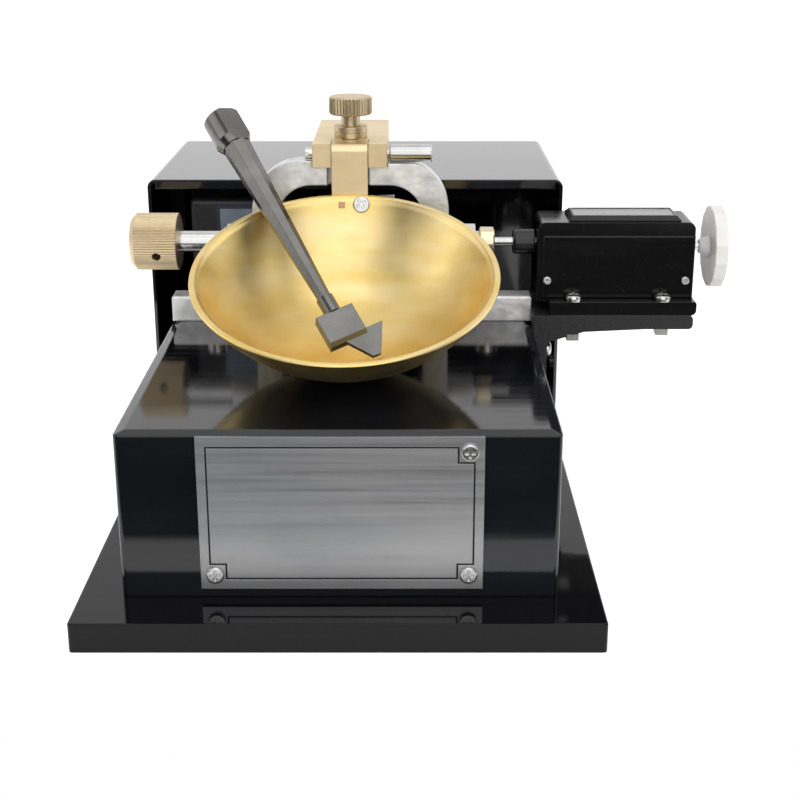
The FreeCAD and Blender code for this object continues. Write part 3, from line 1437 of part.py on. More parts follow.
def make_motor_bracket():
    """An upright plate that the gearbox and the idler axle are fixed to, with a foot on the base plate."""
    half = motor_side / 2
    behind_block = block_front + block_depth + motor_bracket_gap
    arm_front = idler_y - 2 * axle_radius
    arm_top = idler_z + 2 * axle_radius
    arm_low = block_top + motor_bracket_arm_height
    outline = [(behind_block, plate_thickness), (motor_y + half, plate_thickness),
               (motor_y + half, motor_z + half), (motor_y, arm_top), (arm_front, arm_top),
               (arm_front, arm_low + motor_bracket_arm), (behind_block, arm_low)]
    plate = prism_x(outline, gearbox_end, bracket_plate_end)
    foot = box((bracket_plate_end - 0.5, bracket_foot_x[1]), (behind_block, motor_y + half),
               (plate_thickness, plate_thickness + foot_thickness))
    bracket = plate.fuse(foot)
    bracket = bracket.cut(rod_x(gearbox_end, bracket_plate_end, motor_y, motor_z,
                                motor_shaft_radius + motor_bracket_play))
    bracket = bracket.cut(rod_x(gearbox_end, bracket_plate_end, idler_y, idler_z, axle_radius))
    for screw in motor_screws + motor_foot_screws:
        bracket = bracket.cut(screw)
    for spot_y, spot_z in [(s.BoundBox.Center.y, s.BoundBox.Center.z) for s in motor_screws]:
        bracket = bracket.cut(rod_x(bracket_plate_end - motor_screw_head_height, bracket_plate_end,
                                    spot_y, spot_z, motor_screw_head_radius))
    return bracket.removeSplitter()


def make_motor_foot_screw(x, y):
    screw = pan_screw(motor_screw_head_radius, motor_screw_head_height, motor_screw_radius,
                      motor_screw_length)
    return place(screw, vec(x, y, plate_thickness + foot_thickness), vec(0, 0, 1))


motor_foot_screws = [make_motor_foot_screw(x, y) for x, y in bracket_screw_places]


def make_inlet():
    """A three-pin appliance inlet with its flange on the hood's back."""
    flange = box((inlet_x - inlet_width / 2 - inlet_flange, inlet_x + inlet_width / 2 + inlet_flange),
                 (hood_back, hood_back + panel_flange_thickness),
                 (panel_z - inlet_height / 2 - 1, panel_z + inlet_height / 2 + 1))
    flange = flange.makeFillet(2, edges_along(flange, vec(0, 1, 0)))
    width = inlet_width - 2 * inlet_flange
    body = box((inlet_x - width / 2, inlet_x + width / 2), (hood_back - inlet_depth, hood_back),
               (panel_z - inlet_height / 2, panel_z + inlet_height / 2))
    inlet = flange.fuse(body)
    pocket_x = width / 2 - inlet_wall
    pocket_z = inlet_height / 2 - inlet_wall
    inlet = inlet.cut(box((inlet_x - pocket_x, inlet_x + pocket_x),
                          (hood_back - inlet_depth + inlet_floor, hood_back + 2),
                          (panel_z - pocket_z, panel_z + pocket_z)))
    for dx, dz in inlet_pin_places:
        x = inlet_x + dx
        z = panel_z + dz
        pin = box((x - inlet_pin_width / 2, x + inlet_pin_width / 2),
                  (hood_back - inlet_depth + 1, hood_back - 3),
                  (z - inlet_pin_height / 2, z + inlet_pin_height / 2))
        inlet = inlet.fuse(pin)
    return inlet.removeSplitter()


def rocker_pin(clearance=0.0):
    """The rocker's pin, or with a clearance the bore that it turns in."""
    half = switch_width / 2 - 2 * switch_flange + rocker_pin_length + clearance
    return rod_x(switch_x - half, switch_x + half, hood_back - rocker_pivot_depth, panel_z,
                 rocker_pin_radius + clearance)


def make_switch_body():
    flange = box((switch_x - switch_width / 2, switch_x + switch_width / 2),
                 (hood_back, hood_back + panel_flange_thickness),
                 (panel_z - switch_height / 2, panel_z + switch_height / 2))
    body = box((switch_x - switch_width / 2 + switch_flange, switch_x + switch_width / 2 - switch_flange),
               (hood_back - switch_depth, hood_back),
               (panel_z - switch_height / 2 + switch_flange, panel_z + switch_height / 2 - switch_flange))
    switch = flange.fuse(body)
    pocket_x = switch_width / 2 - 2 * switch_flange + sliding_clearance
    pocket_z = switch_height / 2 - 2 * switch_flange + 2 * sliding_clearance
    switch = switch.cut(box((switch_x - pocket_x, switch_x + pocket_x),
                            (hood_back - switch_pocket_depth, hood_back + 2),
                            (panel_z - pocket_z, panel_z + pocket_z)))
    return switch.cut(rocker_pin(running_clearance)).removeSplitter()


def make_switch_rocker():
    """A rocker that stands tilted in its pocket, its upper half pressed."""
    half_x = switch_width / 2 - 2 * switch_flange
    half_z = switch_height / 2 - 2 * switch_flange
    face = hood_back + rocker_proud
    pivot = hood_back - rocker_pivot_depth
    drop = half_z * math.tan(math.radians(rocker_tilt))
    low = panel_z - half_z * 0.97
    high = panel_z + half_z * 0.97
    outline = [(face, panel_z), (face + drop * 0.3, low), (pivot, low), (pivot - 2, panel_z),
               (pivot - 0.6, high), (face - drop * 0.8, high)]
    return prism_x(outline, switch_x - half_x, switch_x + half_x).fuse(rocker_pin()).removeSplitter()


# Write every piece
save("base_plate", make_base_plate())
save("rubber_block", make_rubber_block())
save("block_screws", group(block_screws))
save("nameplate", make_nameplate())
save("nameplate_screws", group(nameplate_screws))
save("arch_frame", make_arch_frame())
save("frame_screws", group(frame_screws))
save("shaft_bushes", make_bushes())
save("camshaft", make_camshaft())
save("cam", make_cam())
save("cam_set_screw", cam_set_screw)
save("camshaft_gear", make_camshaft_gear())
save("gear_set_screw", gear_set_screw)
save("turning_knob", make_knob())
save("knob_set_screw", knob_set_screw)
save("shaft_collar", make_collar())
save("collar_set_screw", collar_set_screw)
save("coupling_sleeve", make_sleeve())
save("counter_input_shaft", make_input_shaft())
save("idler_gear", make_idler())
save("idler_axle", make_idler_axle())
save("motor_pinion", make_pinion())
save("motor_shaft", rod_x(gearbox_end - gearbox_bore_depth + rest_clearance, gear_end, motor_y, motor_z,
                          motor_shaft_radius))
save("carriage_block", make_carriage())
save("clamp_screw", make_clamp_screw())
save("clamp_washer", make_clamp_washer())
save("adjusting_screw", make_adjusting_screw())
save("pivot_pin", make_pivot_pin())
save("cup_hanger", make_hanger())
save("cup", make_cup())
save("cup_screw", cup_screw)
save("cup_peg", cup_peg)
save("tool_gauge_head", make_tool_head())
save("tool_shank", make_tool_shank())
save("tool_blade", make_tool_blade())
save("counter_case", make_counter_case())
save("counter_cover", make_counter_cover())
save("counter_cover_screws", group(cover_screws))
save("window_frame", make_window_frame())
save("counter_window", make_window())
save("units_wheel", digit_wheel(0))
save("digit_wheels", group([digit_wheel(i) for i in (1, 2, 3)]))
save("reset_shaft", make_reset_shaft())
save("reset_knob", make_reset_knob())
save("counter_mounting_screws", group(mounting_screws))
save("counter_mounting_nuts", make_mounting_nuts())
save("counter_bracket", make_counter_bracket())
save("bracket_screws", group(bracket_screws))
save("rear_hood", make_hood())
save("hood_screws", group(hood_screws))
save("gear_motor", make_motor())
save("motor_gearbox", make_gearbox())
save("motor_label", make_motor_label())
save("motor_bracket", make_motor_bracket())
save("motor_screws", group(motor_screws))
save("motor_foot_screws", group(motor_foot_screws))
save("mains_inlet", make_inlet())
save("switch_body", make_switch_body())
save("switch_rocker", make_switch_rocker())

print("hanger lift, degrees:", round(math.degrees(hanger_lift), 4))
print("coupling ratio, hanger to camshaft:", round(math.degrees(hanger_lift) / cam_turn, 6))
for axis, y, z in (("camshaft", camshaft_y, camshaft_z), ("idler axle", idler_y, idler_z),
                   ("motor shaft", motor_y, motor_z), ("pivot", pivot_y, pivot_z)):
    print(axis, "y, z:", round(y, 3), round(z, 3))
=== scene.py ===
"""Looks of a motorised liquid limit device: its finishes, spun cup, counter digits, lights and camera."""

import json
import math

import bmesh
import bpy
from mathutils import Matrix, Vector


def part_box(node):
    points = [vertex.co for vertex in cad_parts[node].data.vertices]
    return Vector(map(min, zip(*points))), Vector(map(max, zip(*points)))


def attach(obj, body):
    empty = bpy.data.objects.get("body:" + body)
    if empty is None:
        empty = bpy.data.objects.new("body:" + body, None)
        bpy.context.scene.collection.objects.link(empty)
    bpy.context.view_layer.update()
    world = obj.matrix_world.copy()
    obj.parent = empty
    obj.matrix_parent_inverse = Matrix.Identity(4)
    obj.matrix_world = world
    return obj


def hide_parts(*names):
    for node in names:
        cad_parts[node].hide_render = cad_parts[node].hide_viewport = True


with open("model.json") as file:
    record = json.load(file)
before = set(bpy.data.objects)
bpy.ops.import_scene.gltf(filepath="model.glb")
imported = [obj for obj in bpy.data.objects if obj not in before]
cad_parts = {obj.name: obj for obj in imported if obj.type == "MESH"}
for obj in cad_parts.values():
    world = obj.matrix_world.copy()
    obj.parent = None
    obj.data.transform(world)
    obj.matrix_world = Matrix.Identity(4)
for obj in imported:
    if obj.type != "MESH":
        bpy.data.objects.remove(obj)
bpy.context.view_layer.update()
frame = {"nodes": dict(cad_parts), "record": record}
nodes = frame["nodes"]

# Driving sizes, in metres and degrees
MM = 0.001
CUP_INNER_RADIUS = 54 * MM
CUP_WALL = 2 * MM
CUP_DEPTH = 27 * MM
CUP_TILT = 18.98
CUP_GAP_TO_BLOCK = 0.2 * MM
CUP_CENTRE_BEHIND_BLOCK_FRONT = 52.9 * MM
CUP_LIP_RADIUS = 0.9 * MM
CUP_SEGMENTS = 192
CUP_RINGS = 48
NAMEPLATE_LINE_DEPTH = 0.2 * MM
LABEL_BORDER = 1.3 * MM
DIGIT_HEIGHT = 3.2 * MM
DIGIT_RISE = 0.06 * MM
DIGIT_THICKNESS = 0.192 * MM
DIGIT_NARROWING = 0.8
FONT_SIZE_PER_HEIGHT = 1.35
DIGITS_PER_WHEEL = 10

# The camera, as fitted to the photograph's straight edges
CAMERA_PLACE = (19.195 * MM, -487.94 * MM, 202.6 * MM)
CAMERA_TILT = 71.672
CAMERA_LENS = 64.53
CAMERA_SHIFT = (-0.0074, -0.0339)

# The table's front edge, and how far it reaches to the sides and the back
TABLE_FRONT = -0.17
TABLE_REACH = 3.0

# Light levels, where 1 is white
BACKDROP = 1.0
WORLD_DIFFUSE = 0.62
WORLD_GLOSSY_FRONT = 0.07
WORLD_GLOSSY_BACK = 1.0
FLOOR_COLOR = 0.82
FLOOR_LIFT = 0.60

# Square soft lamps: place, side length in metres and power in watts
LAMP_AIM = (0, 0, 0.08)
LAMPS = {
    "overhead": ((0.10, -0.45, 1.25), 1.0, 3.5),
    "front_window": ((0.10, -1.4, 0.60), 1.7, 13),
    "left_side": ((-1.1, -0.2, 0.7), 0.8, 2),
    "right_side": ((1.1, 0.1, 0.8), 0.8, 1.5),
}


# Node-based materials
NOISE_ROUGHNESS = 0.55


class Shader:
    """A material with one Principled shader, to which texture nodes are added one at a time."""

    def __init__(self, name, color, **sockets):
        self.material = bpy.data.materials.new(name)
        self.material.use_nodes = True
        self.tree = self.material.node_tree
        self.bsdf = self.tree.nodes["Principled BSDF"]
        self.bsdf.inputs["Base Color"].default_value = (*color, 1)
        for socket, value in sockets.items():
            self.bsdf.inputs[socket.replace("_", " ").title().replace("Ior", "IOR")].default_value = value
        self.normal = None
        self.place = self.add("ShaderNodeTexCoord").outputs["Object"]

    def add(self, kind, **settings):
        """Adds a node, with settings as attributes and values for its inputs by name."""
        node = self.tree.nodes.new(kind)
        inputs = settings.pop("inputs", {})
        for key, value in settings.items():
            setattr(node, key, value)
        for key, value in inputs.items():
            if isinstance(value, bpy.types.NodeSocket):
                self.tree.links.new(value, node.inputs[key])
            else:
                node.inputs[key].default_value = value
        return node

    def stretched(self, scale):
        """The object's coordinates, scaled per axis, so that a texture has a grain."""
        return self.add("ShaderNodeMapping", inputs={"Vector": self.place, "Scale": scale}).outputs["Vector"]

    def noise(self, scale, detail, grain=None):
        """Cloudy noise, stretched along a grain where one is given."""
        where = self.stretched(grain) if grain else self.place
        return self.add("ShaderNodeTexNoise", inputs={
            "Vector": where, "Scale": scale, "Detail": detail, "Roughness": NOISE_ROUGHNESS}).outputs["Fac"]

    def cells(self, scale):
        """Soft round cells, as in a hammered finish."""
        return self.add("ShaderNodeTexVoronoi", feature="SMOOTH_F1",
                        inputs={"Vector": self.place, "Scale": scale}).outputs["Distance"]

    def spread(self, source, low, high, from_low=0.3, from_high=0.7):
        """Maps a texture's middle range to new limits."""
        return self.add("ShaderNodeMapRange", inputs={
            "Value": source, "From Min": from_low, "From Max": from_high,
            "To Min": low, "To Max": high}).outputs["Result"]

    def blend(self, factor, first, second):
        """A colour between two, by a factor."""
        node = self.add("ShaderNodeMix", data_type="RGBA", inputs={"Factor": factor})
        for socket, value in ((node.inputs[6], first), (node.inputs[7], second)):
            if isinstance(value, bpy.types.NodeSocket):
                self.tree.links.new(value, socket)
            else:
                socket.default_value = (*value, 1)
        return node.outputs[2]

    def color(self, source):
        self.tree.links.new(source, self.bsdf.inputs["Base Color"])

    def roughness(self, source):
        self.tree.links.new(source, self.bsdf.inputs["Roughness"])

    def soften_edges(self, radius):
        self.normal = self.add("ShaderNodeBevel", samples=6, inputs={"Radius": radius}).outputs["Normal"]
        self.tree.links.new(self.normal, self.bsdf.inputs["Normal"])

    def bump(self, height, distance, strength=1.0):
        inputs = {"Height": height, "Distance": distance, "Strength": strength}
        if self.normal:
            inputs["Normal"] = self.normal
        self.normal = self.add("ShaderNodeBump", inputs=inputs).outputs["Normal"]
        self.tree.links.new(self.normal, self.bsdf.inputs["Normal"])


def gloss_paint(name, color, ior, roughness, peel=0.02 * MM, edge=0.5 * MM, dust=0.25, **sockets):
    """Glossy enamel with orange peel, faint wiping marks and a little dust."""
    shader = Shader(name, color, ior=ior, **sockets)
    shader.soften_edges(edge)
    shader.bump(shader.noise(220, 2), peel, 0.35)
    marks = shader.noise(35, 4, grain=(0.4, 3, 3))
    shader.roughness(shader.spread(marks, roughness * 0.6, roughness * 1.7))
    specks = shader.spread(shader.noise(900, 2), 0, dust, 0.62, 0.8)
    shader.color(shader.blend(specks, color, tuple(min(1, c * 3 + 0.03) for c in color)))
    return shader.material


def hard_rubber(name):
    """Polished black rubber, worn by cross-wise strokes on its top."""
    shader = Shader(name, (0.003, 0.003, 0.004), ior=1.5)
    shader.soften_edges(0.9 * MM)
    strokes = shader.noise(60, 5, grain=(0.25, 6, 6))
    shader.roughness(shader.spread(strokes, 0.04, 0.14))
    shader.bump(strokes, 0.015 * MM, 0.2)
    haze = shader.noise(14, 4, grain=(0.7, 2, 2))
    shader.color(shader.blend(shader.spread(haze, 0, 1), (0.002, 0.002, 0.003), (0.007, 0.008, 0.011)))
    return shader.material


def worked_metal(name, color, dark, roughness, grain, grain_scale=500, edge=0.25 * MM, groove=0.012 * MM,
                 blotch_scale=40, scratches=0.0):
    """Metal with tool marks along a grain, cloudy tarnish, and scratches where asked."""
    shader = Shader(name, color, metallic=1.0)
    shader.soften_edges(edge)
    lines = shader.noise(grain_scale, 4, grain=grain)
    shader.bump(lines, groove, 0.5)
    if scratches:
        where = shader.noise(90, 3, grain=(1, 2.5, 0.7))
        shader.bump(shader.spread(where, 0, 1, 0.49, 0.51), scratches, 0.3)
    clouds = shader.noise(blotch_scale, 4)
    shader.color(shader.blend(shader.spread(clouds, 0, 1), dark, color))
    shader.roughness(shader.spread(lines, roughness * 0.75, roughness * 1.3))
    return shader.material


def spun_brass(name):
    """The cup's golden brass, with fine rings from spinning, wiping scratches, tarnish in clouds, and pale
    streaks that are partly wiping marks and partly a painted sheen.
    """
    shader = Shader(name, (0.80, 0.64, 0.30), metallic=1.0)
    clouds = shader.spread(shader.noise(22, 5), 0, 1)
    # Pale streaks: partly wiping marks on the brass, partly a painted sheen standing in for whitish
    # highlights.
    streaks_and_sheen = shader.spread(shader.noise(55, 5, grain=(0.5, 1, 3)), 0, 1, 0.35, 0.65)
    warm = shader.blend(clouds, (0.73, 0.51, 0.155), (0.84, 0.64, 0.25))
    shader.color(shader.blend(shader.spread(streaks_and_sheen, 0, 0.45, 0, 1), warm, (0.93, 0.80, 0.50)))
    shader.roughness(shader.spread(shader.noise(70, 5), 0.30, 0.44))
    shader.bump(shader.noise(420, 3, grain=(1, 1, 6)), 0.012 * MM, 0.4)
    shader.bump(shader.spread(shader.noise(30, 6, grain=(2, 0.4, 2)), 0, 1, 0.497, 0.503), 0.006 * MM, 0.25)
    return shader.material


def casting(name):
    """Light alloy as cast, with a hammered silver coat."""
    shader = Shader(name, (0.62, 0.61, 0.6), metallic=0.75, roughness=0.38)
    shader.soften_edges(0.7 * MM)
    dents = shader.cells(420)
    shader.bump(dents, 0.22 * MM, 0.55)
    shader.bump(shader.noise(1400, 3), 0.05 * MM, 0.5)
    grey = shader.spread(shader.noise(160, 5), 0, 1)
    shader.color(shader.blend(grey, (0.60, 0.60, 0.61), (0.92, 0.91, 0.90)))
    shader.roughness(shader.spread(shader.noise(300, 3), 0.38, 0.55))
    return shader.material


def brushed_plate(name):
    """Satin steel sheet, brushed along its width, with soft stains, and its engraved line darkened by
    painted shade.
    """
    shader = Shader(name, (0.4, 0.41, 0.43), metallic=1.0)
    shader.soften_edges(0.2 * MM)
    hairs = shader.noise(700, 4, grain=(0.02, 1, 1))
    bands = shader.noise(90, 3, grain=(0.05, 1, 1))
    stains = shader.noise(24, 5, grain=(0.7, 1, 1.4))
    base = shader.blend(shader.spread(stains, 0, 1), (0.30, 0.31, 0.33), (0.42, 0.42, 0.425))
    brushed = shader.blend(shader.spread(bands, 0, 0.35), base, (0.52, 0.51, 0.5))
    axes = shader.add("ShaderNodeSeparateXYZ", inputs={"Vector": shader.place})
    # Painted shade: the floor of the engraved groove is coloured near black, standing in for the shade that
    # falls in it.
    line_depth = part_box("nameplate")[0][1] + NAMEPLATE_LINE_DEPTH
    groove_shade = shader.add("ShaderNodeMath", operation="COMPARE", inputs={
        0: axes.outputs["Y"], 1: line_depth, 2: NAMEPLATE_LINE_DEPTH / 2})
    shader.color(shader.blend(groove_shade.outputs[0], brushed, (0.03, 0.03, 0.035)))
    shader.roughness(shader.spread(hairs, 0.34, 0.5))
    shader.bump(hairs, 0.02 * MM, 0.5)
    return shader.material


def crinkle_paint(name):
    """Black wrinkle finish."""
    shader = Shader(name, (0.012, 0.012, 0.013), ior=1.42)
    shader.soften_edges(0.6 * MM)
    folds = shader.noise(900, 4)
    shader.bump(folds, 0.25 * MM, 0.9)
    shader.roughness(shader.spread(folds, 0.3, 0.6))
    return shader.material


def moulded(name, color, roughness, ior=1.46):
    """Moulded plastic or rubber with a fine skin texture."""
    shader = Shader(name, color, ior=ior)
    shader.soften_edges(0.3 * MM)
    skin = shader.noise(1500, 2)
    shader.bump(skin, 0.03 * MM, 0.4)
    shader.roughness(shader.spread(skin, roughness * 0.85, roughness * 1.2))
    shade = shader.spread(shader.noise(60, 3), 0, 1)
    shader.color(shader.blend(shade, tuple(c * 0.88 for c in color), color))
    return shader.material


def nylon(name):
    """Milky white nylon that lets a little light through."""
    shader = Shader(name, (0.80, 0.79, 0.765), ior=1.5)
    shader.bsdf.inputs["Subsurface Weight"].default_value = 0.35
    shader.bsdf.inputs["Subsurface Scale"].default_value = 2 * MM
    shader.bsdf.inputs["Subsurface Radius"].default_value = (1.0, 0.95, 0.85)
    shader.soften_edges(0.35 * MM)
    lines = shader.noise(700, 3, grain=(0.3, 1, 1))
    shader.bump(lines, 0.03 * MM, 0.4)
    shader.roughness(shader.spread(lines, 0.32, 0.5))
    clouds = shader.spread(shader.noise(90, 3), 0, 1)
    shader.color(shader.blend(clouds, (0.72, 0.71, 0.69), (0.83, 0.82, 0.80)))
    return shader.material


def clear_pane(name):
    """Clear plastic, nearly flat."""
    shader = Shader(name, (0.92, 0.95, 0.96), ior=1.49, roughness=0.03)
    shader.bsdf.inputs["Transmission Weight"].default_value = 1.0
    shader.bump(shader.noise(160, 2), 0.01 * MM, 0.2)
    return shader.material


def label_foil(name):
    """Plain pale blue foil with a navy border, printed by the piece's own place."""
    low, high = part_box("motor_label")
    shader = Shader(name, (0.16, 0.21, 0.26), roughness=0.45)
    axes = shader.add("ShaderNodeSeparateXYZ", inputs={"Vector": shader.place})
    inside = None
    for socket, start, end in (("X", low[0], high[0]), ("Z", low[2], high[2])):
        for value, operation in ((start + LABEL_BORDER, "GREATER_THAN"), (end - LABEL_BORDER, "LESS_THAN")):
            test = shader.add("ShaderNodeMath", operation=operation)
            shader.tree.links.new(axes.outputs[socket], test.inputs[0])
            test.inputs[1].default_value = value
            if inside is None:
                inside = test.outputs[0]
                continue
            both = shader.add("ShaderNodeMath", operation="MULTIPLY")
            shader.tree.links.new(inside, both.inputs[0])
            shader.tree.links.new(test.outputs[0], both.inputs[1])
            inside = both.outputs[0]
    faded = shader.blend(shader.spread(shader.noise(120, 3), 0, 1), (0.13, 0.16, 0.20), (0.20, 0.24, 0.29))
    shader.color(shader.blend(inside, (0.012, 0.02, 0.05), faded))
    return shader.material


# The grain of each way of working metal, as texture scales in X, Y and Z
ALONG_Z = (1, 1, 0.03)
MILLED = (0.1, 1, 1)
TURNED = (1, 0.05, 0.05)
BORED = (1, 0.1, 0.1)
EVEN = (1, 1, 1)

MATERIALS = {
    "black_gloss_paint": gloss_paint("black enamel", (0.003, 0.003, 0.004), 1.30, 0.06, dust=0.1),
    "hard_rubber": hard_rubber("polished hard rubber"),
    "plated_steel": worked_metal("plated steel", (0.72, 0.71, 0.69), (0.5, 0.5, 0.5), 0.24, EVEN, 300),
    "brushed_nameplate": brushed_plate("brushed nameplate"),
    "silver_casting": casting("hammered silver casting"),
    "bearing_bronze": worked_metal("bearing bronze", (0.55, 0.38, 0.2), (0.4, 0.27, 0.15), 0.3, BORED),
    "ground_steel": worked_metal("ground steel", (0.70, 0.70, 0.69), (0.52, 0.52, 0.51), 0.18, TURNED, 900),
    "dark_steel": worked_metal("blackened steel", (0.10, 0.10, 0.11), (0.05, 0.05, 0.05), 0.35, EVEN),
    "gear_steel": worked_metal("gear steel", (0.45, 0.44, 0.42), (0.25, 0.24, 0.22), 0.3, BORED),
    "knurled_brass": worked_metal("knurled brass", (0.74, 0.60, 0.39), (0.54, 0.43, 0.27), 0.36, EVEN, 900,
                                  groove=0.03 * MM),
    "yellow_brass": worked_metal("turned brass", (0.90, 0.80, 0.60), (0.75, 0.62, 0.42), 0.2, TURNED, 800),
    "sleeve_rubber": moulded("sleeve rubber", (0.010, 0.010, 0.013), 0.25, ior=1.5),
    "pale_brass": worked_metal("milled brass", (0.84, 0.69, 0.44), (0.72, 0.57, 0.34), 0.40, MILLED, 500,
                               groove=0.004 * MM, scratches=0.006 * MM),
    "cup_brass": spun_brass("spun brass"),
    "copper_peg": worked_metal("copper", (0.52, 0.28, 0.18), (0.4, 0.18, 0.11), 0.3, EVEN),
    "dark_chrome": worked_metal("dark chrome", (0.20, 0.197, 0.19), (0.13, 0.128, 0.12), 0.20, ALONG_Z, 600,
                                edge=0.3 * MM, groove=0.006 * MM, blotch_scale=60),
    "black_gloss_case": gloss_paint("counter enamel", (0.004, 0.004, 0.0045), 1.4, 0.12, edge=0.4 * MM),
    "clear_window": clear_pane("clear pane"),
    "black_wheel": moulded("wheel plastic", (0.012, 0.012, 0.012), 0.4),
    "white_nylon": nylon("milky nylon"),
    "black_crinkle_paint": crinkle_paint("black wrinkle paint"),
    "black_gloss_hood": gloss_paint("hood enamel", (0.003, 0.0035, 0.005), 1.55, 0.06, edge=0.6 * MM,
                                    coat_weight=0.4, coat_roughness=0.05),
    "motor_black": gloss_paint("motor enamel", (0.012, 0.012, 0.014), 1.45, 0.35),
    "cast_gearbox": worked_metal("gearbox alloy", (0.28, 0.28, 0.28), (0.18, 0.18, 0.18), 0.5, EVEN, 500,
                                 groove=0.1 * MM),
    "label_foil": label_foil("label foil"),
    "zinc_sheet": worked_metal("zinc plated sheet", (0.40, 0.40, 0.41), (0.28, 0.28, 0.29), 0.35, EVEN, 120),
    "black_plastic": moulded("black plastic", (0.012, 0.012, 0.013), 0.35),
    "red_plastic": moulded("red plastic", (0.42, 0.02, 0.015), 0.22),
}
DIGIT_WHITE = moulded("digit white", (0.80, 0.80, 0.78), 0.4)
SLOTS = {sub["node"]: sub["material_slot"] for sub in frame["record"]["subparts"]}


def dress(obj, material):
    """Gives one material to a whole object."""
    if not obj.material_slots:
        obj.data.materials.append(material)
    for place in obj.material_slots:
        place.link = "OBJECT"
        place.material = material


for node_name, node_object in nodes.items():
    dress(node_object, MATERIALS[SLOTS[node_name]])


# Mesh helpers
def mesh_object(name, vertices, faces, smooth=True):
    """An object made of listed vertices and faces."""
    mesh = bpy.data.meshes.new(name)
    mesh.from_pydata(vertices, [], faces)
    mesh.polygons.foreach_set("use_smooth", [smooth] * len(faces))
    mesh.update()
    obj = bpy.data.objects.new(name, mesh)
    bpy.context.scene.collection.objects.link(obj)
    return obj


def lathe(name, profile, segments):
    """Turns a closed profile of (radius, height) points round Z. Points on the axis become poles."""
    vertices, rings = [], []
    for radius, height in profile:
        if radius < 1e-7:
            rings.append([len(vertices)] * segments)
            vertices.append((0, 0, height))
            continue
        start = len(vertices)
        for i in range(segments):
            angle = 2 * math.pi * i / segments
            vertices.append((radius * math.cos(angle), radius * math.sin(angle), height))
        rings.append(list(range(start, start + segments)))
    faces = []
    for k in range(len(rings) - 1):
        for i in range(segments):
            j = (i + 1) % segments
            corners = [rings[k][i], rings[k][j], rings[k + 1][j], rings[k + 1][i]]
            faces.append(list(dict.fromkeys(corners)))
    return mesh_object(name, vertices, faces)


# The cup, as one spun bowl with a rounded lip
def make_cup():
    block_low, block_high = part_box("rubber_block")
    outer = CUP_INNER_RADIUS + CUP_WALL
    rim = -(CUP_INNER_RADIUS - CUP_DEPTH)
    profile = []
    outer_angle = math.acos((CUP_LIP_RADIUS - rim) / outer)
    for i in range(CUP_RINGS + 1):
        angle = outer_angle * i / CUP_RINGS
        profile.append((outer * math.sin(angle), -outer * math.cos(angle)))
    inner_angle = math.acos((CUP_LIP_RADIUS - rim) / CUP_INNER_RADIUS)
    outer_lip = math.sqrt(outer ** 2 - rim ** 2) - CUP_LIP_RADIUS
    inner_lip = math.sqrt(CUP_INNER_RADIUS ** 2 - rim ** 2) + CUP_LIP_RADIUS
    for centre, start in ((outer_lip, 0), (inner_lip, 90)):
        for step in range(1, 6):
            angle = math.radians(start + 90 * step / 6)
            profile.append((centre + CUP_LIP_RADIUS * math.cos(angle),
                            rim - CUP_LIP_RADIUS + CUP_LIP_RADIUS * math.sin(angle)))
    for i in range(CUP_RINGS, -1, -1):
        angle = inner_angle * i / CUP_RINGS
        profile.append((CUP_INNER_RADIUS * math.sin(angle), -CUP_INNER_RADIUS * math.cos(angle)))
    profile[0] = (0, -outer)
    profile[-1] = (0, -CUP_INNER_RADIUS)
    cup = lathe("spun_cup", profile, CUP_SEGMENTS)
    centre = Vector((0, block_low[1] + CUP_CENTRE_BEHIND_BLOCK_FRONT,
                     block_high[2] + CUP_GAP_TO_BLOCK + outer))
    cup.data.transform(Matrix.Translation(centre) @ Matrix.Rotation(math.radians(CUP_TILT), 4, "X"))
    dress(cup, MATERIALS["cup_brass"])
    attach(cup, "cup_assembly")
    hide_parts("cup")


# Raised white digits round each counter wheel
def text_mesh(text, height):
    """Flat text of a given height, centred on its own origin."""
    curve = bpy.data.curves.new("digit " + text, "FONT")
    curve.body = text
    curve.size = height * FONT_SIZE_PER_HEIGHT
    curve.align_x = "CENTER"
    curve.align_y = "CENTER"
    curve.resolution_u = 4
    holder = bpy.data.objects.new("digit", curve)
    bpy.context.scene.collection.objects.link(holder)
    mesh = bpy.data.meshes.new_from_object(holder.evaluated_get(bpy.context.evaluated_depsgraph_get()))
    bpy.data.objects.remove(holder)
    return mesh


def make_digits(name, node, body, starts, width):
    """Ten digits round each wheel of a node. Each wheel starts at one of the given x places."""
    low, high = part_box(node)
    axis_y, axis_z = (low[1] + high[1]) / 2, (low[2] + high[2]) / 2
    radius = (high[2] - low[2]) / 2
    digits = bmesh.new()
    for wheel, start in enumerate(starts):
        for number in range(DIGITS_PER_WHEEL):
            flat = text_mesh(str(number), DIGIT_HEIGHT)
            turn = Matrix.Rotation(math.radians(360 / DIGITS_PER_WHEEL * number), 4, "X")
            face = Matrix.Translation((0, 0, radius + DIGIT_RISE))
            squeeze = Matrix.Diagonal((DIGIT_NARROWING, 1, 1, 1))
            middle = Matrix.Translation((start + width / 2, axis_y, axis_z))
            flat.transform(middle @ turn @ face @ squeeze)
            digits.from_mesh(flat)
    mesh = bpy.data.meshes.new(name)
    digits.to_mesh(mesh)
    obj = bpy.data.objects.new(name, mesh)
    bpy.context.scene.collection.objects.link(obj)
    thick = obj.modifiers.new("thickness", "SOLIDIFY")
    thick.thickness = DIGIT_THICKNESS
    thick.offset = 0
    dress(obj, DIGIT_WHITE)
    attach(obj, body)


def make_all_digits():
    low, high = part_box("units_wheel")
    width = high[0] - low[0]
    make_digits("units_digits", "units_wheel", "units_wheel_body", [low[0]], width)
    low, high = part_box("digit_wheels")
    pitch = (high[0] - low[0] - width) / 2
    starts = [low[0] + i * pitch for i in range(3)]
    make_digits("higher_digits", "digit_wheels", "reset_assembly", starts, width)


make_cup()
make_all_digits()


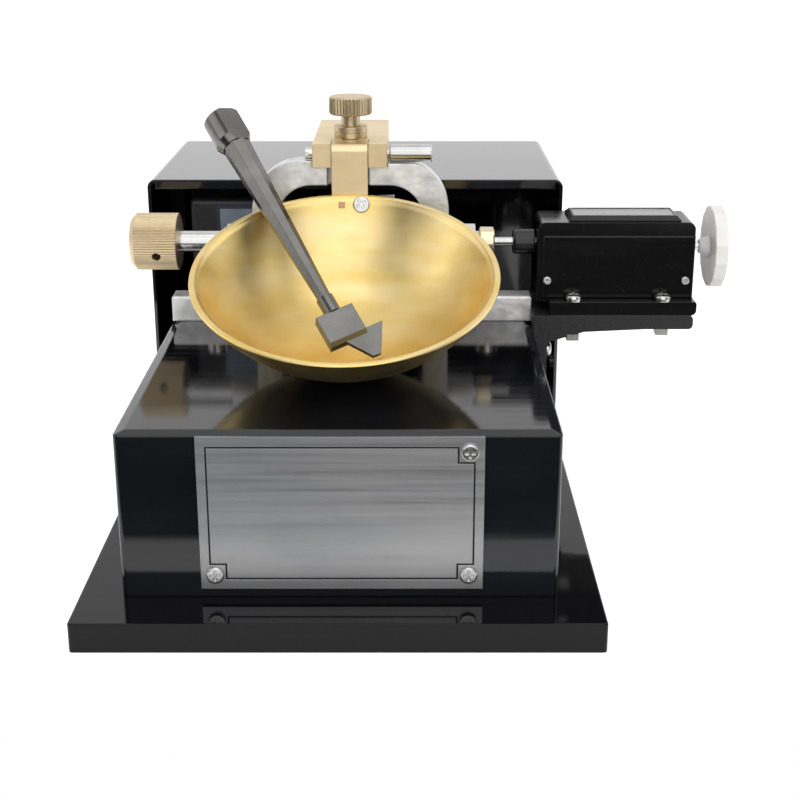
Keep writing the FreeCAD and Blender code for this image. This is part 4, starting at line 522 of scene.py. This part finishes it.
# Floor, world and lamps
def make_floor():
    """A pale table top that ends in front of the device and looks white to the camera."""
    corners = [(-TABLE_REACH, TABLE_FRONT, 0), (TABLE_REACH, TABLE_FRONT, 0),
               (TABLE_REACH, TABLE_REACH, 0), (-TABLE_REACH, TABLE_REACH, 0)]
    floor = mesh_object("floor", corners, [(0, 1, 2, 3)], smooth=False)
    material = bpy.data.materials.new("pale floor")
    material.use_nodes = True
    tree = material.node_tree
    bsdf = tree.nodes["Principled BSDF"]
    bsdf.inputs["Base Color"].default_value = (FLOOR_COLOR, FLOOR_COLOR, FLOOR_COLOR, 1)
    bsdf.inputs["Roughness"].default_value = 1.0
    bsdf.inputs["Specular IOR Level"].default_value = 0.0
    rays = tree.nodes.new("ShaderNodeLightPath")
    seen = background_rays(tree, rays)
    lift = tree.nodes.new("ShaderNodeMath")
    lift.operation = "MULTIPLY"
    lift.inputs[1].default_value = FLOOR_LIFT
    tree.links.new(seen, lift.inputs[0])
    bsdf.inputs["Emission Color"].default_value = (1, 1, 1, 1)
    tree.links.new(lift.outputs[0], bsdf.inputs["Emission Strength"])
    floor.data.materials.append(material)


def background_rays(tree, rays):
    """One for the rays that see the backdrop: camera, mirror and glass rays."""
    total = rays.outputs["Is Camera Ray"]
    for kind in ("Is Glossy Ray", "Is Transmission Ray"):
        either = tree.nodes.new("ShaderNodeMath")
        either.operation = "MAXIMUM"
        tree.links.new(total, either.inputs[0])
        tree.links.new(rays.outputs[kind], either.inputs[1])
        total = either.outputs[0]
    return total


def mix_value(tree, factor, first, second):
    """A number between two, by a factor."""
    node = tree.nodes.new("ShaderNodeMix")
    node.data_type = "FLOAT"
    tree.links.new(factor, node.inputs["Factor"])
    for socket, value in ((node.inputs["A"], first), (node.inputs["B"], second)):
        if isinstance(value, bpy.types.NodeSocket):
            tree.links.new(value, socket)
        else:
            socket.default_value = value
    return node.outputs["Result"]


def make_world():
    """A white backdrop behind the object, a dimmer room in front of it, and an even soft light."""
    world = bpy.data.worlds.new("studio")
    bpy.context.scene.world = world
    world.use_nodes = True
    tree = world.node_tree
    background = tree.nodes["Background"]
    rays = tree.nodes.new("ShaderNodeLightPath")
    direction = tree.nodes.new("ShaderNodeTexCoord").outputs["Generated"]
    axes = tree.nodes.new("ShaderNodeSeparateXYZ")
    tree.links.new(direction, axes.inputs[0])
    depth = tree.nodes.new("ShaderNodeMapRange")
    depth.interpolation_type = "SMOOTHSTEP"
    depth.inputs["From Min"].default_value = -0.9
    depth.inputs["From Max"].default_value = 0.5
    depth.inputs["To Min"].default_value = WORLD_GLOSSY_FRONT
    depth.inputs["To Max"].default_value = WORLD_GLOSSY_BACK
    tree.links.new(axes.outputs["Y"], depth.inputs["Value"])
    seen = background_rays(tree, rays)
    mirror = mix_value(tree, seen, WORLD_DIFFUSE, depth.outputs["Result"])
    strength = mix_value(tree, rays.outputs["Is Camera Ray"], mirror, BACKDROP)
    background.inputs["Color"].default_value = (1, 1, 1, 1)
    tree.links.new(strength, background.inputs["Strength"])


def area_lamp(name, place, size, power):
    """A square lamp aimed at the device."""
    lamp = bpy.data.lights.new(name, "AREA")
    lamp.shape = "SQUARE"
    lamp.size = size
    lamp.energy = power
    obj = bpy.data.objects.new(name, lamp)
    bpy.context.scene.collection.objects.link(obj)
    obj.location = place
    obj.rotation_euler = (Vector(LAMP_AIM) - Vector(place)).to_track_quat("-Z", "Y").to_euler()


def make_camera():
    camera = bpy.data.cameras.new("camera")
    camera.lens = CAMERA_LENS
    camera.sensor_width = 36
    camera.shift_x, camera.shift_y = CAMERA_SHIFT
    obj = bpy.data.objects.new("camera", camera)
    bpy.context.scene.collection.objects.link(obj)
    obj.location = CAMERA_PLACE
    obj.rotation_euler = (math.radians(CAMERA_TILT), 0, 0)
    bpy.context.scene.camera = obj


make_floor()
make_world()
for lamp_name, (place, size, power) in LAMPS.items():
    area_lamp(lamp_name, place, size, power)
make_camera()
bpy.context.scene.view_settings.view_transform = "Standard"
